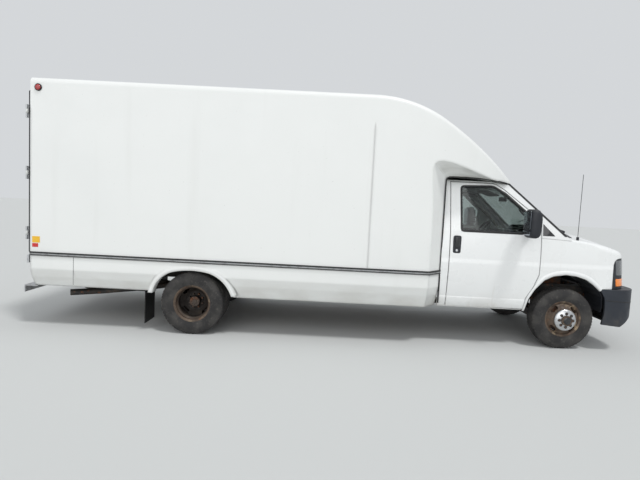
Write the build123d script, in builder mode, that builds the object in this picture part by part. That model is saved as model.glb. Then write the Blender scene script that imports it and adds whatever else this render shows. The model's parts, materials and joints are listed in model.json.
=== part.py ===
from build123d import *
import math
import os

# Box truck: a cutaway van chassis with twin rear wheels and a moulded load body.
# Millimetres. +X is forward, +Y is the left side, +Z is up. The ground is at z = 0 and the origin
# is under the middle of the truck's length.

# Driving dimensions: lengths along the truck
WHEELBASE = 4496.0
FRONT_OVERHANG = 950.0       # front axle to bumper face
REAR_OVERHANG = 2033.0       # rear axle to the step bumper's rear edge
REAR_X = (REAR_OVERHANG - FRONT_OVERHANG - WHEELBASE) / 2    # rear axle
FRONT_X = REAR_X + WHEELBASE                                 # front axle

# Wheels
TYRE_RADIUS = 372.0
TYRE_WIDTH = 222.0
RIM_RADIUS = 220.5           # over the flanges
RIM_HALF = 95.0              # flange to wheel centre line
BEAD_RADIUS = 203.0
RIM_WALL = 7.0
WHEEL_OFFSET = 136.0         # wheel centre line to mounting face
FRONT_TRACK_HALF = 874.0
REAR_TRACK_HALF = 933.0      # mounting face between the twin wheels
HUB_Z = TYRE_RADIUS
HAND_HOLES = 4
SPINDLE_RADIUS = 24.0
SPINDLE_LENGTH = 165.0         # kingpin axis to the spindle's tip
REAR_SPINDLE_RADIUS = 32.0
RUNNING_FIT = 0.4            # between a turning part and its shaft
KINGPIN_Y = 800.0

# Chassis
RAIL_Y = 430.0
RAIL_WIDTH = 70.0
RAIL_BOTTOM = 560.0
RAIL_TOP = 720.0
RAIL_WALL = 8.0
CROSS_MEMBERS = (REAR_X - 1800, REAR_X - 620, REAR_X + 700, REAR_X + 1900, REAR_X + 2900, FRONT_X + 540)
AXLE_RADIUS = 44.0
ENGINE_BOTTOM = 470.0
SPRING_WIDTH = 70.0
PIPE_RADIUS = 38.0
ARM_DROP = 128.0                  # hub centre down to the lower arm
ARM_RISE = 128.0                  # hub centre up to the upper arm
STEP_HALF = 1100.0                # rear step bumper's half width

# Load body
BOX_HALF = 1195.0
BOX_WALL = 30.0
BOX_REAR = REAR_X - 1905.0
BOX_FRONT = FRONT_X - 1552.0      # front face beside the cab
BOX_CORNER = FRONT_X - 1736.0     # where the side turns in towards the cab
NOSE_SEAM = FRONT_X - 2446.0      # joint of the side panels and the nose moulding
NOSE_TIP = FRONT_X - 655.0
NOSE_SIDE = FRONT_X - 706.0          # nose's front edge, this far out from the middle
NOSE_SIDE_Y = 800.0
RECESS_INNER = 1000.0             # where the nose's soffit meets the cab
RECESS_TOP = 2034.0
ROOF_Z = 2908.0
ROOF_EDGE = 62.0                  # radius along the roof edges
ROOF_SEAM_Z = 2790.0
RAIL_STRIP_BOTTOM = 865.0         # rub rail along the side
RAIL_STRIP_TOP = 900.0
RAIL_STRIP_DEPTH = 12.0
FLOOR_TOP = 880.0
FLOOR_THICK = 35.0
SILL_HEIGHT = 75.0                # cross sills under the floor
SILL_WIDTH = 60.0
DOORWAY_WIDTH = 640.0
DOORWAY_HEIGHT = 1110.0
REAR_FRAME = 60.0                 # depth of the rear portal
FRAME_PROUD = 10.0
POST_WIDTH = 60.0
HEADER_HEIGHT = 110.0
SILL_STRIP_BOTTOM = 770.0
SILL_STRIP_HEIGHT = 90.0
REAR_DOOR = 40.0
DOOR_CLEAR = 7.0                  # round the rear doors
CENTRE_GAP = 12.0                 # between them
HINGE_X = BOX_REAR - FRAME_PROUD - 36.0
HINGE_Y = BOX_HALF - 10.0
HINGE_BARREL = 50.0
HINGE_HEIGHTS = (1120.0, 1820.0, 2520.0)
SKIRT_WALL = 16.0
ARCH_LIP = 52.0
LIP_PROUD = 10.0
LIP_FOOT = 486.0
LIP_ROOT = BOX_HALF - 110.0       # how far in the arch's lip and the cross sills reach

# Cab
CAB_HALF = 1012.0                 # widest, at the doors
CAB_BOTTOM = 450.0
BELT_Z = 1390.0                   # window sill
BELT_HALF = 985.0
ROOF_TOP = 2024.0
CAB_REAR = BOX_FRONT + 6.0        # a seal's width ahead of the load body
FLOOR_REAR = CAB_REAR + 4.0       # cab floor
CAB_FRONT = FRONT_X + 240.0
SHIELD_PLANE = Plane(origin=(FRONT_X - 366, 0, 1688), x_dir=(0, 1, 0), z_dir=(691, 0, -552))
SHIELD_BOW = 122.0                # windshield's bulge at the middle, and its fall towards the edge
SHIELD_EDGE = -100.0
FENDER_WALL = 22.0
SHOULDER = 74.0                   # radius between fender tops and sides
CROWN = 0.115                     # fall of the hood's outer parts, per mm outwards from CROWN_Y
CROWN_Y = 450.0
LEAN = 0.10                       # backward lean of the front end, per mm of height about LEAN_Z
LEAN_Z = 920.0
SHIELD_UP = 363.0                 # windshield's top, foot and half widths, along the glass
SHIELD_DOWN = -415.0
SHIELD_TOP = 760.0
SHIELD_FOOT = 880.0
WINDOW_RADIUS = 34.0
GLASS_INSET = 12.0
HOOD_WALL = 28.0
COWL_WALL = 16.0
HOOD_REAR = 810.0                 # hood's half width at the cowl and at the front
HOOD_FRONT = 770.0
LIP_END = 106.0                   # hood's rear edge from the front axle, at its ends and in the middle
LIP_MIDDLE = 256.0
GRILLE_TOP = 1146.0
LAMP_TOP = 1140.0
LAMP_INNER = 590.0
LAMP_DEPTH = 62.0
BUMPER_HALF = 996.0
BUMPER_TOP = 766.0
SHUT = 0.5                        # between fixed panels
LAMP_BOTTOM = BUMPER_TOP + SHUT
HOOD_GAP = 5.5
ROOF_CLEAR = 8.0                  # cab roof below the nose
STRIKER_Y = 979.0                 # door latch strikers on the rear pillars
STRIKER_Z = 1050.0
STRIKER_LENGTH = 44.0
REBATE = 14.0                     # door's inner part stops short behind, clear of the swing
REBATE_SKIN = 20.0
BUMPER_WALL = 26.0
HOUSE_WALL = 6.0                  # front wheelhouse
HOUSE_FOOT = 470.0
HOUSE_INNER = 560.0
HOUSE_OUTER = 1000.0
CAB_FLOOR_HALF = 880.0
COVER_HALF = 290.0                # engine cover
DASH_HALF = 870.0
SEAT_Y = 450.0
SEAT_FOOT = FRONT_X - 1240.0      # seats' rear foot
SEAT_WIDTH = 500.0
MIRROR_INNER = 1085.0
MIRROR_WIDTH = 240.0
CAB_WALL = 48.0
DOOR_THICK = 62.0
DOOR_GAP = 8.0
CAB_FLOOR_TOP = 745.0
FIREWALL_TOP = 1336.0
GLASS = 6.0
SEAT_GAP = 0.3                    # what rests on something lies this far off


def rear(x):
    """Place along the truck, measured forward from the rear axle."""
    return REAR_X + x


def front(x):
    """Place along the truck, measured forward from the front axle."""
    return FRONT_X + x


def finish(part, name):
    """Name a piece and write it to its file."""
    part.label = name
    export_step(part, f"parts/{name}.step")
    print(f"{name}: {len(part.solids())} solids, valid {part.is_valid}")


os.makedirs("parts", exist_ok=True)
SIDES = ((-1, "right"), (1, "left"))


# Wheels
def wheel_disc(centre_x, centre_y, outward):
    """Steel wheel whose mounting face lies on the outward side (1 or -1 along Y)."""
    def at(s, r):
        return (centre_y + outward * s, HUB_Z + r)

    mount = WHEEL_OFFSET
    bore = 58.0
    with BuildPart() as wheel:
        with BuildSketch(Plane.YZ.offset(centre_x)):
            with BuildLine():
                Polyline(at(-RIM_HALF, RIM_RADIUS), at(-RIM_HALF + 9, RIM_RADIUS),
                         at(-RIM_HALF + 15, BEAD_RADIUS), at(-45, BEAD_RADIUS - 2),
                         at(-25, BEAD_RADIUS - 20), at(40, BEAD_RADIUS - 20),
                         at(58, BEAD_RADIUS - 2), at(RIM_HALF - 15, BEAD_RADIUS),
                         at(RIM_HALF - 9, RIM_RADIUS), at(RIM_HALF, RIM_RADIUS),
                         at(RIM_HALF, RIM_RADIUS - 8), at(RIM_HALF - 7, BEAD_RADIUS - RIM_WALL),
                         at(78, BEAD_RADIUS - RIM_WALL - 3), at(mount - 22, 150),
                         at(mount - 3, 124), at(mount, 112), at(mount, bore),
                         at(mount - 10, bore), at(mount - 10, 108), at(mount - 14, 118),
                         at(mount - 33, 144), at(60, BEAD_RADIUS - RIM_WALL - 8),
                         at(44, BEAD_RADIUS - 20 - RIM_WALL), at(-29, BEAD_RADIUS - 20 - RIM_WALL),
                         at(-49, BEAD_RADIUS - 2 - RIM_WALL),
                         at(-RIM_HALF + 11, BEAD_RADIUS - RIM_WALL), at(-RIM_HALF, RIM_RADIUS - 8),
                         close=True)
            make_face()
        revolve(axis=Axis((centre_x, centre_y, HUB_Z), (0, 1, 0)))
        with BuildSketch(Plane.XZ.offset(-centre_y - outward * 63)):
            with Locations((centre_x, HUB_Z)):
                with PolarLocations(164, HAND_HOLES, start_angle=45):
                    SlotOverall(96, 38, rotation=90)
        extrude(amount=-outward * 80, mode=Mode.SUBTRACT)
    return wheel.part


def tyre(centre_x, centre_y):
    """Closed tyre ring with flat tread and bulged walls."""
    half = TYRE_WIDTH / 2
    seat = BEAD_RADIUS + SEAT_GAP
    wall = [(RIM_HALF - 16, seat), (RIM_HALF - 10, RIM_RADIUS + 2), (half - 7, 248), (half, 288),
            (half - 5, 330), (half - 24, 362), (half - 42, TYRE_RADIUS)]
    outline = [(centre_y - s, HUB_Z + r) for s, r in wall]
    outline += [(centre_y + s, HUB_Z + r) for s, r in reversed(wall)]
    with BuildPart() as ring:
        with BuildSketch(Plane.YZ.offset(centre_x)):
            with BuildLine():
                Polyline(*outline, close=True)
            make_face()
        revolve(axis=Axis((centre_x, centre_y, HUB_Z), (0, 1, 0)))
    return ring.part


for side, name in SIDES:
    centre = side * FRONT_TRACK_HALF
    disc = wheel_disc(FRONT_X, centre, side)
    with BuildPart() as front_wheel:
        add(disc)
        with BuildSketch(Plane.XZ.offset(-centre - side * (WHEEL_OFFSET + 70))):
            with Locations((FRONT_X, HUB_Z)):
                Circle(62)
        extrude(amount=side * 215)
        with BuildSketch(Plane.XZ.offset(-centre - side * (WHEEL_OFFSET + 18))):
            with Locations((FRONT_X, HUB_Z)):
                Circle(128)
        extrude(amount=side * 18)
        with BuildSketch(Plane.XZ.offset(-side * KINGPIN_Y)):
            with Locations((FRONT_X, HUB_Z)):
                Circle(SPINDLE_RADIUS + RUNNING_FIT)
        extrude(amount=-side * (SPINDLE_LENGTH + 10), mode=Mode.SUBTRACT)
    finish(front_wheel.part, f"front_wheel_{name}")
    finish(tyre(FRONT_X, centre), f"front_tyre_{name}")

    outer = side * (REAR_TRACK_HALF + WHEEL_OFFSET)
    inner = side * (REAR_TRACK_HALF - WHEEL_OFFSET)
    outer_disc = wheel_disc(REAR_X, outer, -side)
    inner_disc = wheel_disc(REAR_X, inner, side)
    outer_tyre = tyre(REAR_X, outer)
    inner_tyre = tyre(REAR_X, inner)
    with BuildPart() as rear_tyres:
        add(outer_tyre)
        add(inner_tyre)
    finish(rear_tyres.part, f"rear_tyres_{name}")

    with BuildPart() as rear_wheels:
        add(outer_disc)
        add(inner_disc)
        with BuildSketch(Plane.XZ.offset(-side * (REAR_TRACK_HALF + 100))):
            with Locations((REAR_X, HUB_Z)):
                Circle(60)
        extrude(amount=side * 330)
        with BuildSketch(Plane.XZ.offset(-side * (REAR_TRACK_HALF - 240))):
            with Locations((REAR_X, HUB_Z)):
                Circle(REAR_SPINDLE_RADIUS + RUNNING_FIT)
        extrude(amount=-side * 300, mode=Mode.SUBTRACT)
    finish(rear_wheels.part, f"rear_wheels_{name}")


# Nose's lower edge over the cab. Columns: place from the front axle, height
NOSE_EDGE = [(-1460, RECESS_TOP), (-1300, RECESS_TOP), (-1200, 2031), (-1106, 2026), (-970, 2010),
             (-830, 1992), (-700, 1973), (-560, 1952)]
ROOF_FALL = [(-1746, 1985), (-1552, 1985), (-1536, 2018), *NOSE_EDGE, (500, 1795)]


# Load body: one moulded form, inset for its inner face
def box_form(inset):
    """The load body as one block: side profile crossed with the plan."""
    top = ROOF_Z - inset
    half = BOX_HALF - inset
    tip = NOSE_TIP - inset
    with BuildPart() as form:
        with BuildSketch(Plane.XZ):
            with BuildLine():
                roof = Line((BOX_REAR, top), (NOSE_SEAM, top))
                brow = JernArc(start=roof @ 1, tangent=roof % 1, radius=1517 - inset, arc_size=-32)
                slope = TangentArc((brow @ 1, (tip - 30, 2000 - inset)), tangent=brow % 1)
                Polyline(slope @ 1, (tip, 1960), (tip, 300), (BOX_REAR, 300), (BOX_REAR, top))
            make_face()
        extrude(amount=half, both=True)
        with BuildSketch(Plane.XY):
            with BuildLine():
                flank = Line((BOX_REAR, half), (BOX_CORNER, half))
                cheek = TangentArc((flank @ 1, (NOSE_SIDE - inset, NOSE_SIDE_Y - inset)), tangent=flank % 1)
                face = ThreePointArc(cheek @ 1, (tip, 0), (NOSE_SIDE - inset, -NOSE_SIDE_Y + inset))
                back = Line((BOX_REAR, -half), (BOX_CORNER, -half))
                TangentArc((back @ 1, face @ 1), tangent=back % 1)
                Line(back @ 0, flank @ 0)
            make_face()
        extrude(amount=ROOF_Z, mode=Mode.INTERSECT)
        edges = form.part.edges().filter_by(lambda e: e.center().Z > 2100 and abs(e.center().Y) > 300)
        edges = edges.filter_by(lambda e: e.bounding_box().size.X > 100)
        fillet(edges, radius=ROOF_EDGE - inset)
    return form.part


def cab_recess(grow):
    """Space that the nose leaves for the cab: a sloping soffit above, turned-in corners behind."""
    # Columns: place from the front axle, height. The edge in the box side, then the edge at the cab,
    # each point facing its partner.
    side_edge = [(-1736, 250), (-1736, 1500), (-1744, 1700), (-1760, 1900), (-1771, 2030), (-1772, 2110),
                 (-1755, 2165), (-1715, 2196), (-1660, 2206), (-1560, 2196), (-1395, 2161), (-1230, 2116),
                 (-1077, 2066), (-970, 2008), (-883, 1946), (-720, 1835), (-560, 1725), (-560, 250)]
    cab_edge = [(-1552, 250), (-1552, 1500), (-1552, 1650), (-1552, 1800), (-1552, 1900), (-1552, 1970),
                (-1547, 2000), (-1536, 2018), (-1510, 2030), *NOSE_EDGE, (-560, 250)]
    with BuildPart() as space:
        for side, _ in SIDES:
            for y, edge in ((BOX_HALF + 15, side_edge), (RECESS_INNER, cab_edge)):
                with BuildSketch(Plane.XZ.offset(side * y)):
                    with BuildLine():
                        Polyline(*[(front(x), z) for x, z in edge], close=True)
                    make_face()
                    if grow:
                        offset(amount=grow, kind=Kind.INTERSECTION, mode=Mode.REPLACE)
            loft(ruled=True)
        with BuildSketch(Plane.XZ):
            with BuildLine():
                Polyline(*[(front(x), z) for x, z in cab_edge], close=True)
            make_face()
            if grow:
                offset(amount=grow, kind=Kind.INTERSECTION, mode=Mode.REPLACE)
        extrude(amount=RECESS_INNER, both=True)
    return space.part


outer_box = box_form(0)
inner_box = box_form(BOX_WALL)
recess = cab_recess(0)
recess_wall = cab_recess(BOX_WALL)
with BuildPart() as hollow:
    add(inner_box)
    add(recess_wall, mode=Mode.SUBTRACT)
with BuildPart() as shell:
    add(outer_box)
    add(recess, mode=Mode.SUBTRACT)
    add(hollow.part, mode=Mode.SUBTRACT)


def block(x0, x1, y0, y1, z0, z1):
    """Straight block between two corners."""
    with BuildPart() as body:
        with BuildSketch(Plane.XY.offset(z0)):
            with Locations(((x0 + x1) / 2, (y0 + y1) / 2)):
                Rectangle(x1 - x0, y1 - y0)
        extrude(amount=z1 - z0)
    return body.part


rear_zone = block(BOX_REAR, NOSE_SEAM, -BOX_HALF, BOX_HALF, RAIL_STRIP_BOTTOM, ROOF_SEAM_Z)
roof_zone = block(BOX_REAR, NOSE_SEAM, -BOX_HALF, BOX_HALF, ROOF_SEAM_Z, ROOF_Z)
nose_zone = block(NOSE_SEAM, NOSE_TIP, -BOX_HALF, BOX_HALF, RAIL_STRIP_BOTTOM, ROOF_Z)
passage = block(BOX_FRONT - 54, BOX_FRONT + 6, -RECESS_INNER, RECESS_INNER, 200, RECESS_TOP)

side_panels = shell.part & rear_zone
with BuildPart() as box_sides:
    add(side_panels)
finish(box_sides.part, "box_sides")

roof_panel = shell.part & roof_zone
with BuildPart() as box_roof:
    add(roof_panel)
finish(box_roof.part, "box_roof")

nose_panel = shell.part & nose_zone
with BuildPart() as box_nose:
    add(nose_panel)
    add(passage, mode=Mode.SUBTRACT)
finish(box_nose.part, "box_nose")

with BuildPart() as bulkhead:
    with BuildSketch(Plane.YZ.offset(BOX_FRONT - BOX_WALL)):
        with Locations((0, (FLOOR_TOP + RECESS_TOP) / 2)):
            Rectangle(2 * (RECESS_INNER - SEAT_GAP), RECESS_TOP - FLOOR_TOP - 2 * SEAT_GAP)
        with Locations((0, FLOOR_TOP + DOORWAY_HEIGHT / 2)):
            Rectangle(DOORWAY_WIDTH, DOORWAY_HEIGHT, mode=Mode.SUBTRACT)
    extrude(amount=BOX_WALL)
finish(bulkhead.part, "bulkhead")

# Floor on its long runners and cross sills
floor_bottom = FLOOR_TOP - FLOOR_THICK
sill_bottom = floor_bottom - SILL_HEIGHT
floor_front = BOX_FRONT - BOX_WALL - SEAT_GAP
floor_rear = BOX_REAR + REAR_FRAME + SEAT_GAP
floor_half = BOX_HALF - BOX_WALL - SEAT_GAP
SILLS = 12
sill_pitch = (BOX_CORNER - floor_rear - SILL_WIDTH) / (SILLS - 1)
with BuildPart() as cargo_floor:
    with BuildSketch(Plane.XY.offset(floor_bottom)):
        with Locations(((floor_rear + BOX_CORNER) / 2, 0)):
            Rectangle(BOX_CORNER - floor_rear, 2 * floor_half)
        with Locations(((floor_rear + floor_front) / 2, 0)):
            Rectangle(floor_front - floor_rear, 2 * (RECESS_INNER - 20))
    extrude(amount=FLOOR_THICK)
    with BuildSketch(Plane.XY.offset(sill_bottom)):
        with Locations(*[(floor_rear + SILL_WIDTH / 2 + n * sill_pitch, 0) for n in range(SILLS)]):
            Rectangle(SILL_WIDTH, 2 * (LIP_ROOT - 10))
    extrude(amount=SILL_HEIGHT)
    with BuildSketch(Plane.XY.offset(RAIL_TOP + SEAT_GAP)):
        with Locations(((floor_rear + floor_front) / 2, RAIL_Y), ((floor_rear + floor_front) / 2, -RAIL_Y)):
            Rectangle(floor_front - floor_rear, RAIL_WIDTH)
    extrude(amount=sill_bottom - RAIL_TOP - SEAT_GAP)
finish(cargo_floor.part, "cargo_floor")

# Rear frame: a portal inside the moulding, with a sill strip behind the floor
frame_half = BOX_HALF - BOX_WALL - SEAT_GAP
frame_top = ROOF_Z - BOX_WALL - SEAT_GAP
opening_half = frame_half - POST_WIDTH
opening_top = frame_top - HEADER_HEIGHT
with BuildPart() as rear_frame:
    with BuildSketch(Plane.YZ.offset(BOX_REAR - FRAME_PROUD)):
        with Locations((0, (SILL_STRIP_BOTTOM + frame_top) / 2)):
            Rectangle(2 * frame_half, frame_top - SILL_STRIP_BOTTOM)
        fillet(vertices().group_by(Axis.Y)[-1], radius=ROOF_EDGE - BOX_WALL + 2)
        with Locations((0, (FLOOR_TOP + opening_top) / 2)):
            Rectangle(2 * opening_half, opening_top - FLOOR_TOP, mode=Mode.SUBTRACT)
    extrude(amount=REAR_FRAME + FRAME_PROUD)
    with BuildSketch(Plane.XY.offset(SILL_STRIP_BOTTOM)):
        with Locations((BOX_REAR - FRAME_PROUD - 12, 0)):
            Rectangle(24, 2 * (BOX_HALF + 6))
    extrude(amount=SILL_STRIP_HEIGHT)
    for side, _ in SIDES:
        for z in HINGE_HEIGHTS:
            for half_z in (z - HINGE_BARREL, z + HINGE_BARREL):
                with BuildSketch(Plane.XY.offset(half_z - HINGE_BARREL / 2)):
                    with Locations((HINGE_X, side * HINGE_Y)):
                        Circle(11)
                    with Locations((HINGE_X + 18, side * (HINGE_Y - 15))):
                        Rectangle(37, 14)
                extrude(amount=HINGE_BARREL)
finish(rear_frame.part, "rear_frame")

for side, name in SIDES:
    leaf_bottom = FLOOR_TOP + DOOR_CLEAR
    leaf_top = opening_top - DOOR_CLEAR
    leaf_mid = side * (opening_half - DOOR_CLEAR + CENTRE_GAP / 2) / 2
    with BuildPart() as rear_door:
        with BuildSketch(Plane.YZ.offset(BOX_REAR - FRAME_PROUD)):
            with Locations((leaf_mid, (leaf_bottom + leaf_top) / 2)):
                Rectangle(opening_half - DOOR_CLEAR - CENTRE_GAP / 2, leaf_top - leaf_bottom)
        extrude(amount=REAR_DOOR)
        for z in HINGE_HEIGHTS:
            with BuildSketch(Plane.XY.offset(z - HINGE_BARREL / 2 + RUNNING_FIT)):
                with Locations((HINGE_X, side * HINGE_Y)):
                    Circle(11)
                with Locations((HINGE_X + 13, side * (HINGE_Y - 140))):
                    Rectangle(8, 280)
                with Locations((HINGE_X + 5, side * (HINGE_Y - 5))):
                    Rectangle(18, 10)
                with Locations((HINGE_X + 25, side * (opening_half - 110))):
                    Rectangle(24, 180)
            extrude(amount=HINGE_BARREL - 2 * RUNNING_FIT)
    finish(rear_door.part, f"rear_door_{name}")

# Rub rails along the sides
strip_y = BOX_HALF + SEAT_GAP + RAIL_STRIP_DEPTH / 2
with BuildPart() as rub_rails:
    for side, _ in SIDES:
        with BuildSketch(Plane.XY.offset(RAIL_STRIP_BOTTOM)):
            with Locations(((BOX_REAR + BOX_CORNER) / 2, side * strip_y)):
                Rectangle(BOX_CORNER - BOX_REAR, RAIL_STRIP_DEPTH)
        extrude(amount=RAIL_STRIP_TOP - RAIL_STRIP_BOTTOM)
finish(rub_rails.part, "rub_rails")

# Skirts: side panels under the rub rail, tucked in at the foot, with a flared wheel arch
# Columns: start and end along the truck from the rear axle, bottom edge, how far the foot tucks in
SKIRT_RUNS = [(-1905, 0, 488, 113), (0, 2772, 450, 133)]
SKIRT_RETURN = (2772, 2938, 190)  # turned-in end beside the cab: start, end, and its inward run
skirt_top = RAIL_STRIP_BOTTOM - SEAT_GAP


def skirt_section(x, side, bottom, tuck, inward):
    """Skirt's section at a place from the rear axle, drawn in by an inward run."""
    shell = [(0, skirt_top), (0, 700), (38, 600), (tuck, bottom)]
    outer = [(BOX_HALF - inward - fall, z) for fall, z in shell]
    inner = [(y - SKIRT_WALL, z) for y, z in reversed(outer)]
    with BuildSketch(Plane.YZ.offset(rear(x))) as section:
        with BuildLine():
            Polyline(*[(side * y, z) for y, z in outer + inner], close=True)
        make_face()
    return section.sketch


with BuildSketch(Plane.XZ) as arch:
    with BuildLine():
        lead = Line((rear(-462), 300), (rear(-462), 470))
        back = ThreePointArc(lead @ 1, (rear(-370), 662), (rear(-197), 752))
        crown = ThreePointArc(back @ 1, (rear(0), 771), (rear(190), 750))
        fore = ThreePointArc(crown @ 1, (rear(370), 645), (rear(474), 470))
        Polyline(fore @ 1, (rear(474), 300), lead @ 0)
    make_face()
with BuildSketch(Plane.XZ) as arch_lip:
    add(arch.sketch_local)
    offset(amount=ARCH_LIP)
    with Locations((rear(0), 250)):
        Rectangle(1400, 2 * (LIP_FOOT - 250), mode=Mode.SUBTRACT)
    add(arch.sketch_local, mode=Mode.SUBTRACT)
skirt_panels = []
skirt_returns = []
for side, _ in SIDES:
    for x0, x1, bottom, tuck in SKIRT_RUNS:
        skirt_panels.append((skirt_section(x0, side, bottom, tuck, 0), x1 - x0))
    start, end, inward = SKIRT_RETURN
    skirt_returns.append((skirt_section(start, side, bottom, tuck, 0),
                          skirt_section(end, side, bottom, tuck, inward)))
with BuildPart() as box_skirts:
    for section, length in skirt_panels:
        extrude(section, amount=length)
    for section, turned in skirt_returns:
        loft([section, turned], ruled=True)
    with BuildSketch(Plane.XZ):
        add(arch.sketch_local)
    extrude(amount=BOX_HALF + 50, both=True, mode=Mode.SUBTRACT)
    for side, _ in SIDES:
        with BuildSketch(Plane.XZ.offset(-side * (BOX_HALF + LIP_PROUD))):
            add(arch_lip.sketch_local)
        extrude(amount=side * (BOX_HALF + LIP_PROUD - LIP_ROOT))
finish(box_skirts.part, "box_skirts")

# Step bumper at the rear and mud flaps
with BuildPart() as rear_bumper:
    with BuildSketch(Plane.XZ):
        with BuildLine():
            Polyline((-REAR_OVERHANG + REAR_X, 400), (-REAR_OVERHANG + REAR_X, 484), (rear(-1870), 484),
                     (rear(-1870), 476), (rear(-2020), 476), (rear(-2020), 400), close=True)
        make_face()
    extrude(amount=STEP_HALF, both=True)
    for side, _ in SIDES:
        with BuildSketch(Plane.XZ.offset(-side * RAIL_Y)):
            with BuildLine():
                Polyline((rear(-2021), 410), (rear(-2021), 478), (rear(-1880), 478),
                         (rear(-1860), RAIL_BOTTOM - SEAT_GAP), (rear(-1700), RAIL_BOTTOM - SEAT_GAP),
                         (rear(-1700), 545), (rear(-1840), 462), close=True)
            make_face()
        extrude(amount=20, both=True)
finish(rear_bumper.part, "rear_bumper")

with BuildPart() as mud_flaps:
    for side, _ in SIDES:
        with BuildSketch(Plane.XY.offset(70)):
            with Locations((rear(-600), side * 875)):
                Rectangle(8, 330)
        extrude(amount=sill_bottom - 70 - SEAT_GAP)
finish(mud_flaps.part, "mud_flaps")

# Chassis
rail_rear = rear(-1860)
rail_front = front(600)
with BuildPart() as frame_rails:
    for side, _ in SIDES:
        with BuildSketch(Plane.YZ.offset(rail_rear)):
            with Locations((side * RAIL_Y, (RAIL_BOTTOM + RAIL_TOP) / 2)):
                Rectangle(RAIL_WIDTH, RAIL_TOP - RAIL_BOTTOM)
            with Locations((side * (RAIL_Y - RAIL_WALL), (RAIL_BOTTOM + RAIL_TOP) / 2)):
                Rectangle(RAIL_WIDTH, RAIL_TOP - RAIL_BOTTOM - 2 * RAIL_WALL, mode=Mode.SUBTRACT)
        extrude(amount=rail_front - rail_rear)
    with BuildSketch(Plane.XZ):
        for x in CROSS_MEMBERS:
            with Locations((x, (RAIL_BOTTOM + RAIL_TOP) / 2 + 10)):
                Rectangle(80, RAIL_TOP - RAIL_BOTTOM - 2 * RAIL_WALL - 24)
    extrude(amount=RAIL_Y + RAIL_WIDTH / 2 - RAIL_WALL, both=True)
finish(frame_rails.part, "frame_rails")

with BuildPart() as rear_axle:
    with BuildSketch(Plane.XZ):
        with Locations((REAR_X, HUB_Z)):
            Circle(AXLE_RADIUS)
    extrude(amount=REAR_TRACK_HALF - 250, both=True)
    with BuildSketch(Plane.XZ):
        with Locations((REAR_X, HUB_Z)):
            Circle(REAR_SPINDLE_RADIUS)
    extrude(amount=REAR_TRACK_HALF + 40, both=True)
    with BuildSketch(Plane.XZ):
        with Locations((REAR_X, HUB_Z)):
            Circle(150)
    extrude(amount=75, both=True)
    fillet(edges().filter_by(GeomType.CIRCLE).filter_by(lambda e: e.radius > 149), radius=60)
    with BuildSketch(Plane.YZ.offset(REAR_X)):
        with Locations((0, HUB_Z)):
            Circle(58)
    extrude(amount=225)
finish(rear_axle.part, "rear_axle")

spring_y = RAIL_Y + RAIL_WIDTH / 2 + SPRING_WIDTH / 2 + SEAT_GAP
with BuildPart() as leaf_springs:
    for side, _ in SIDES:
        with BuildSketch(Plane.XZ.offset(-side * spring_y)):
            with BuildLine():
                low = ThreePointArc((rear(-720), 530), (REAR_X, HUB_Z + AXLE_RADIUS + SEAT_GAP),
                                    (rear(720), 530))
                high = ThreePointArc((rear(-720), 548), (REAR_X, HUB_Z + AXLE_RADIUS + 62), (rear(720), 548))
                Line(low @ 0, high @ 0)
                Line(low @ 1, high @ 1)
            make_face()
            with Locations((rear(-720), 545), (rear(720), 545)):
                Circle(26)
            with Locations((rear(-720), 590), (rear(720), 590)):
                Rectangle(60, 90)
        extrude(amount=SPRING_WIDTH / 2, both=True)
finish(leaf_springs.part, "leaf_springs")

with BuildPart() as engine_block:
    with BuildSketch(Plane.XY.offset(ENGINE_BOTTOM)):
        with Locations((front(-60), 0)):
            Rectangle(700, 500)
    extrude(amount=480)
finish(engine_block.part, "engine_block")

# Gearbox behind the engine, with the propshaft back to the axle
gearbox_front = front(-60 - 350) - SEAT_GAP
shaft_start = (gearbox_front - 700, 0, 540)
shaft_end = (rear(225) + SEAT_GAP, 0, HUB_Z)
with BuildPart() as drivetrain:
    with BuildSketch(Plane.YZ.offset(gearbox_front)):
        with Locations((0, 580)):
            Circle(175)
    with BuildSketch(Plane.YZ.offset(gearbox_front - 300)):
        with Locations((0, 560)):
            Circle(125)
    with BuildSketch(Plane.YZ.offset(gearbox_front - 705)):
        with Locations((0, 540)):
            Circle(75)
    loft(ruled=True)
    run = Vector(*shaft_end) - Vector(*shaft_start)
    with BuildSketch(Plane(origin=shaft_start, z_dir=run)):
        Circle(38)
    extrude(amount=run.length)
    add(rear_axle.part, mode=Mode.SUBTRACT)
finish(drivetrain.part, "drivetrain")

with BuildPart() as fuel_tank:
    with BuildSketch(Plane.XY.offset(330)):
        with Locations((rear(-1230), 0)):
            RectangleRounded(900, 2 * (RAIL_Y - 15), 60)
    extrude(amount=RAIL_BOTTOM - SEAT_GAP - 330)
    fillet(edges().group_by(Axis.Z)[0], radius=40)
finish(fuel_tank.part, "fuel_tank")

# Exhaust: silencer beside the right rail, pipe over the axle, tail outwards behind the wheels
pipe_route = [(front(-560), -330, 500), (front(-1250), -600, 455), (rear(760), -615, 455),
              (rear(330), -610, 505), (rear(-330), -610, 505), (rear(-700), -620, 440),
              (rear(-1250), -760, 388), (rear(-1555), -950, 388)]
with BuildPart() as exhaust_pipe:
    with BuildLine() as route:
        FilletPolyline(*pipe_route, radius=180)
    with BuildSketch(Plane(origin=route.line @ 0, z_dir=route.line % 0)):
        Circle(PIPE_RADIUS)
    sweep(path=route.line)
    with BuildSketch(Plane.YZ.offset(rear(1250))):
        with Locations((-612, 455)):
            Ellipse(130, 95)
    extrude(amount=800)
    with BuildSketch(Plane.XZ.offset(RAIL_Y + RAIL_WIDTH / 2 + SEAT_GAP)):
        with Locations((rear(1300), 545), (rear(2000), 545)):
            Rectangle(30, 190)
    extrude(amount=110)
finish(exhaust_pipe.part, "exhaust_pipe")

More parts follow.
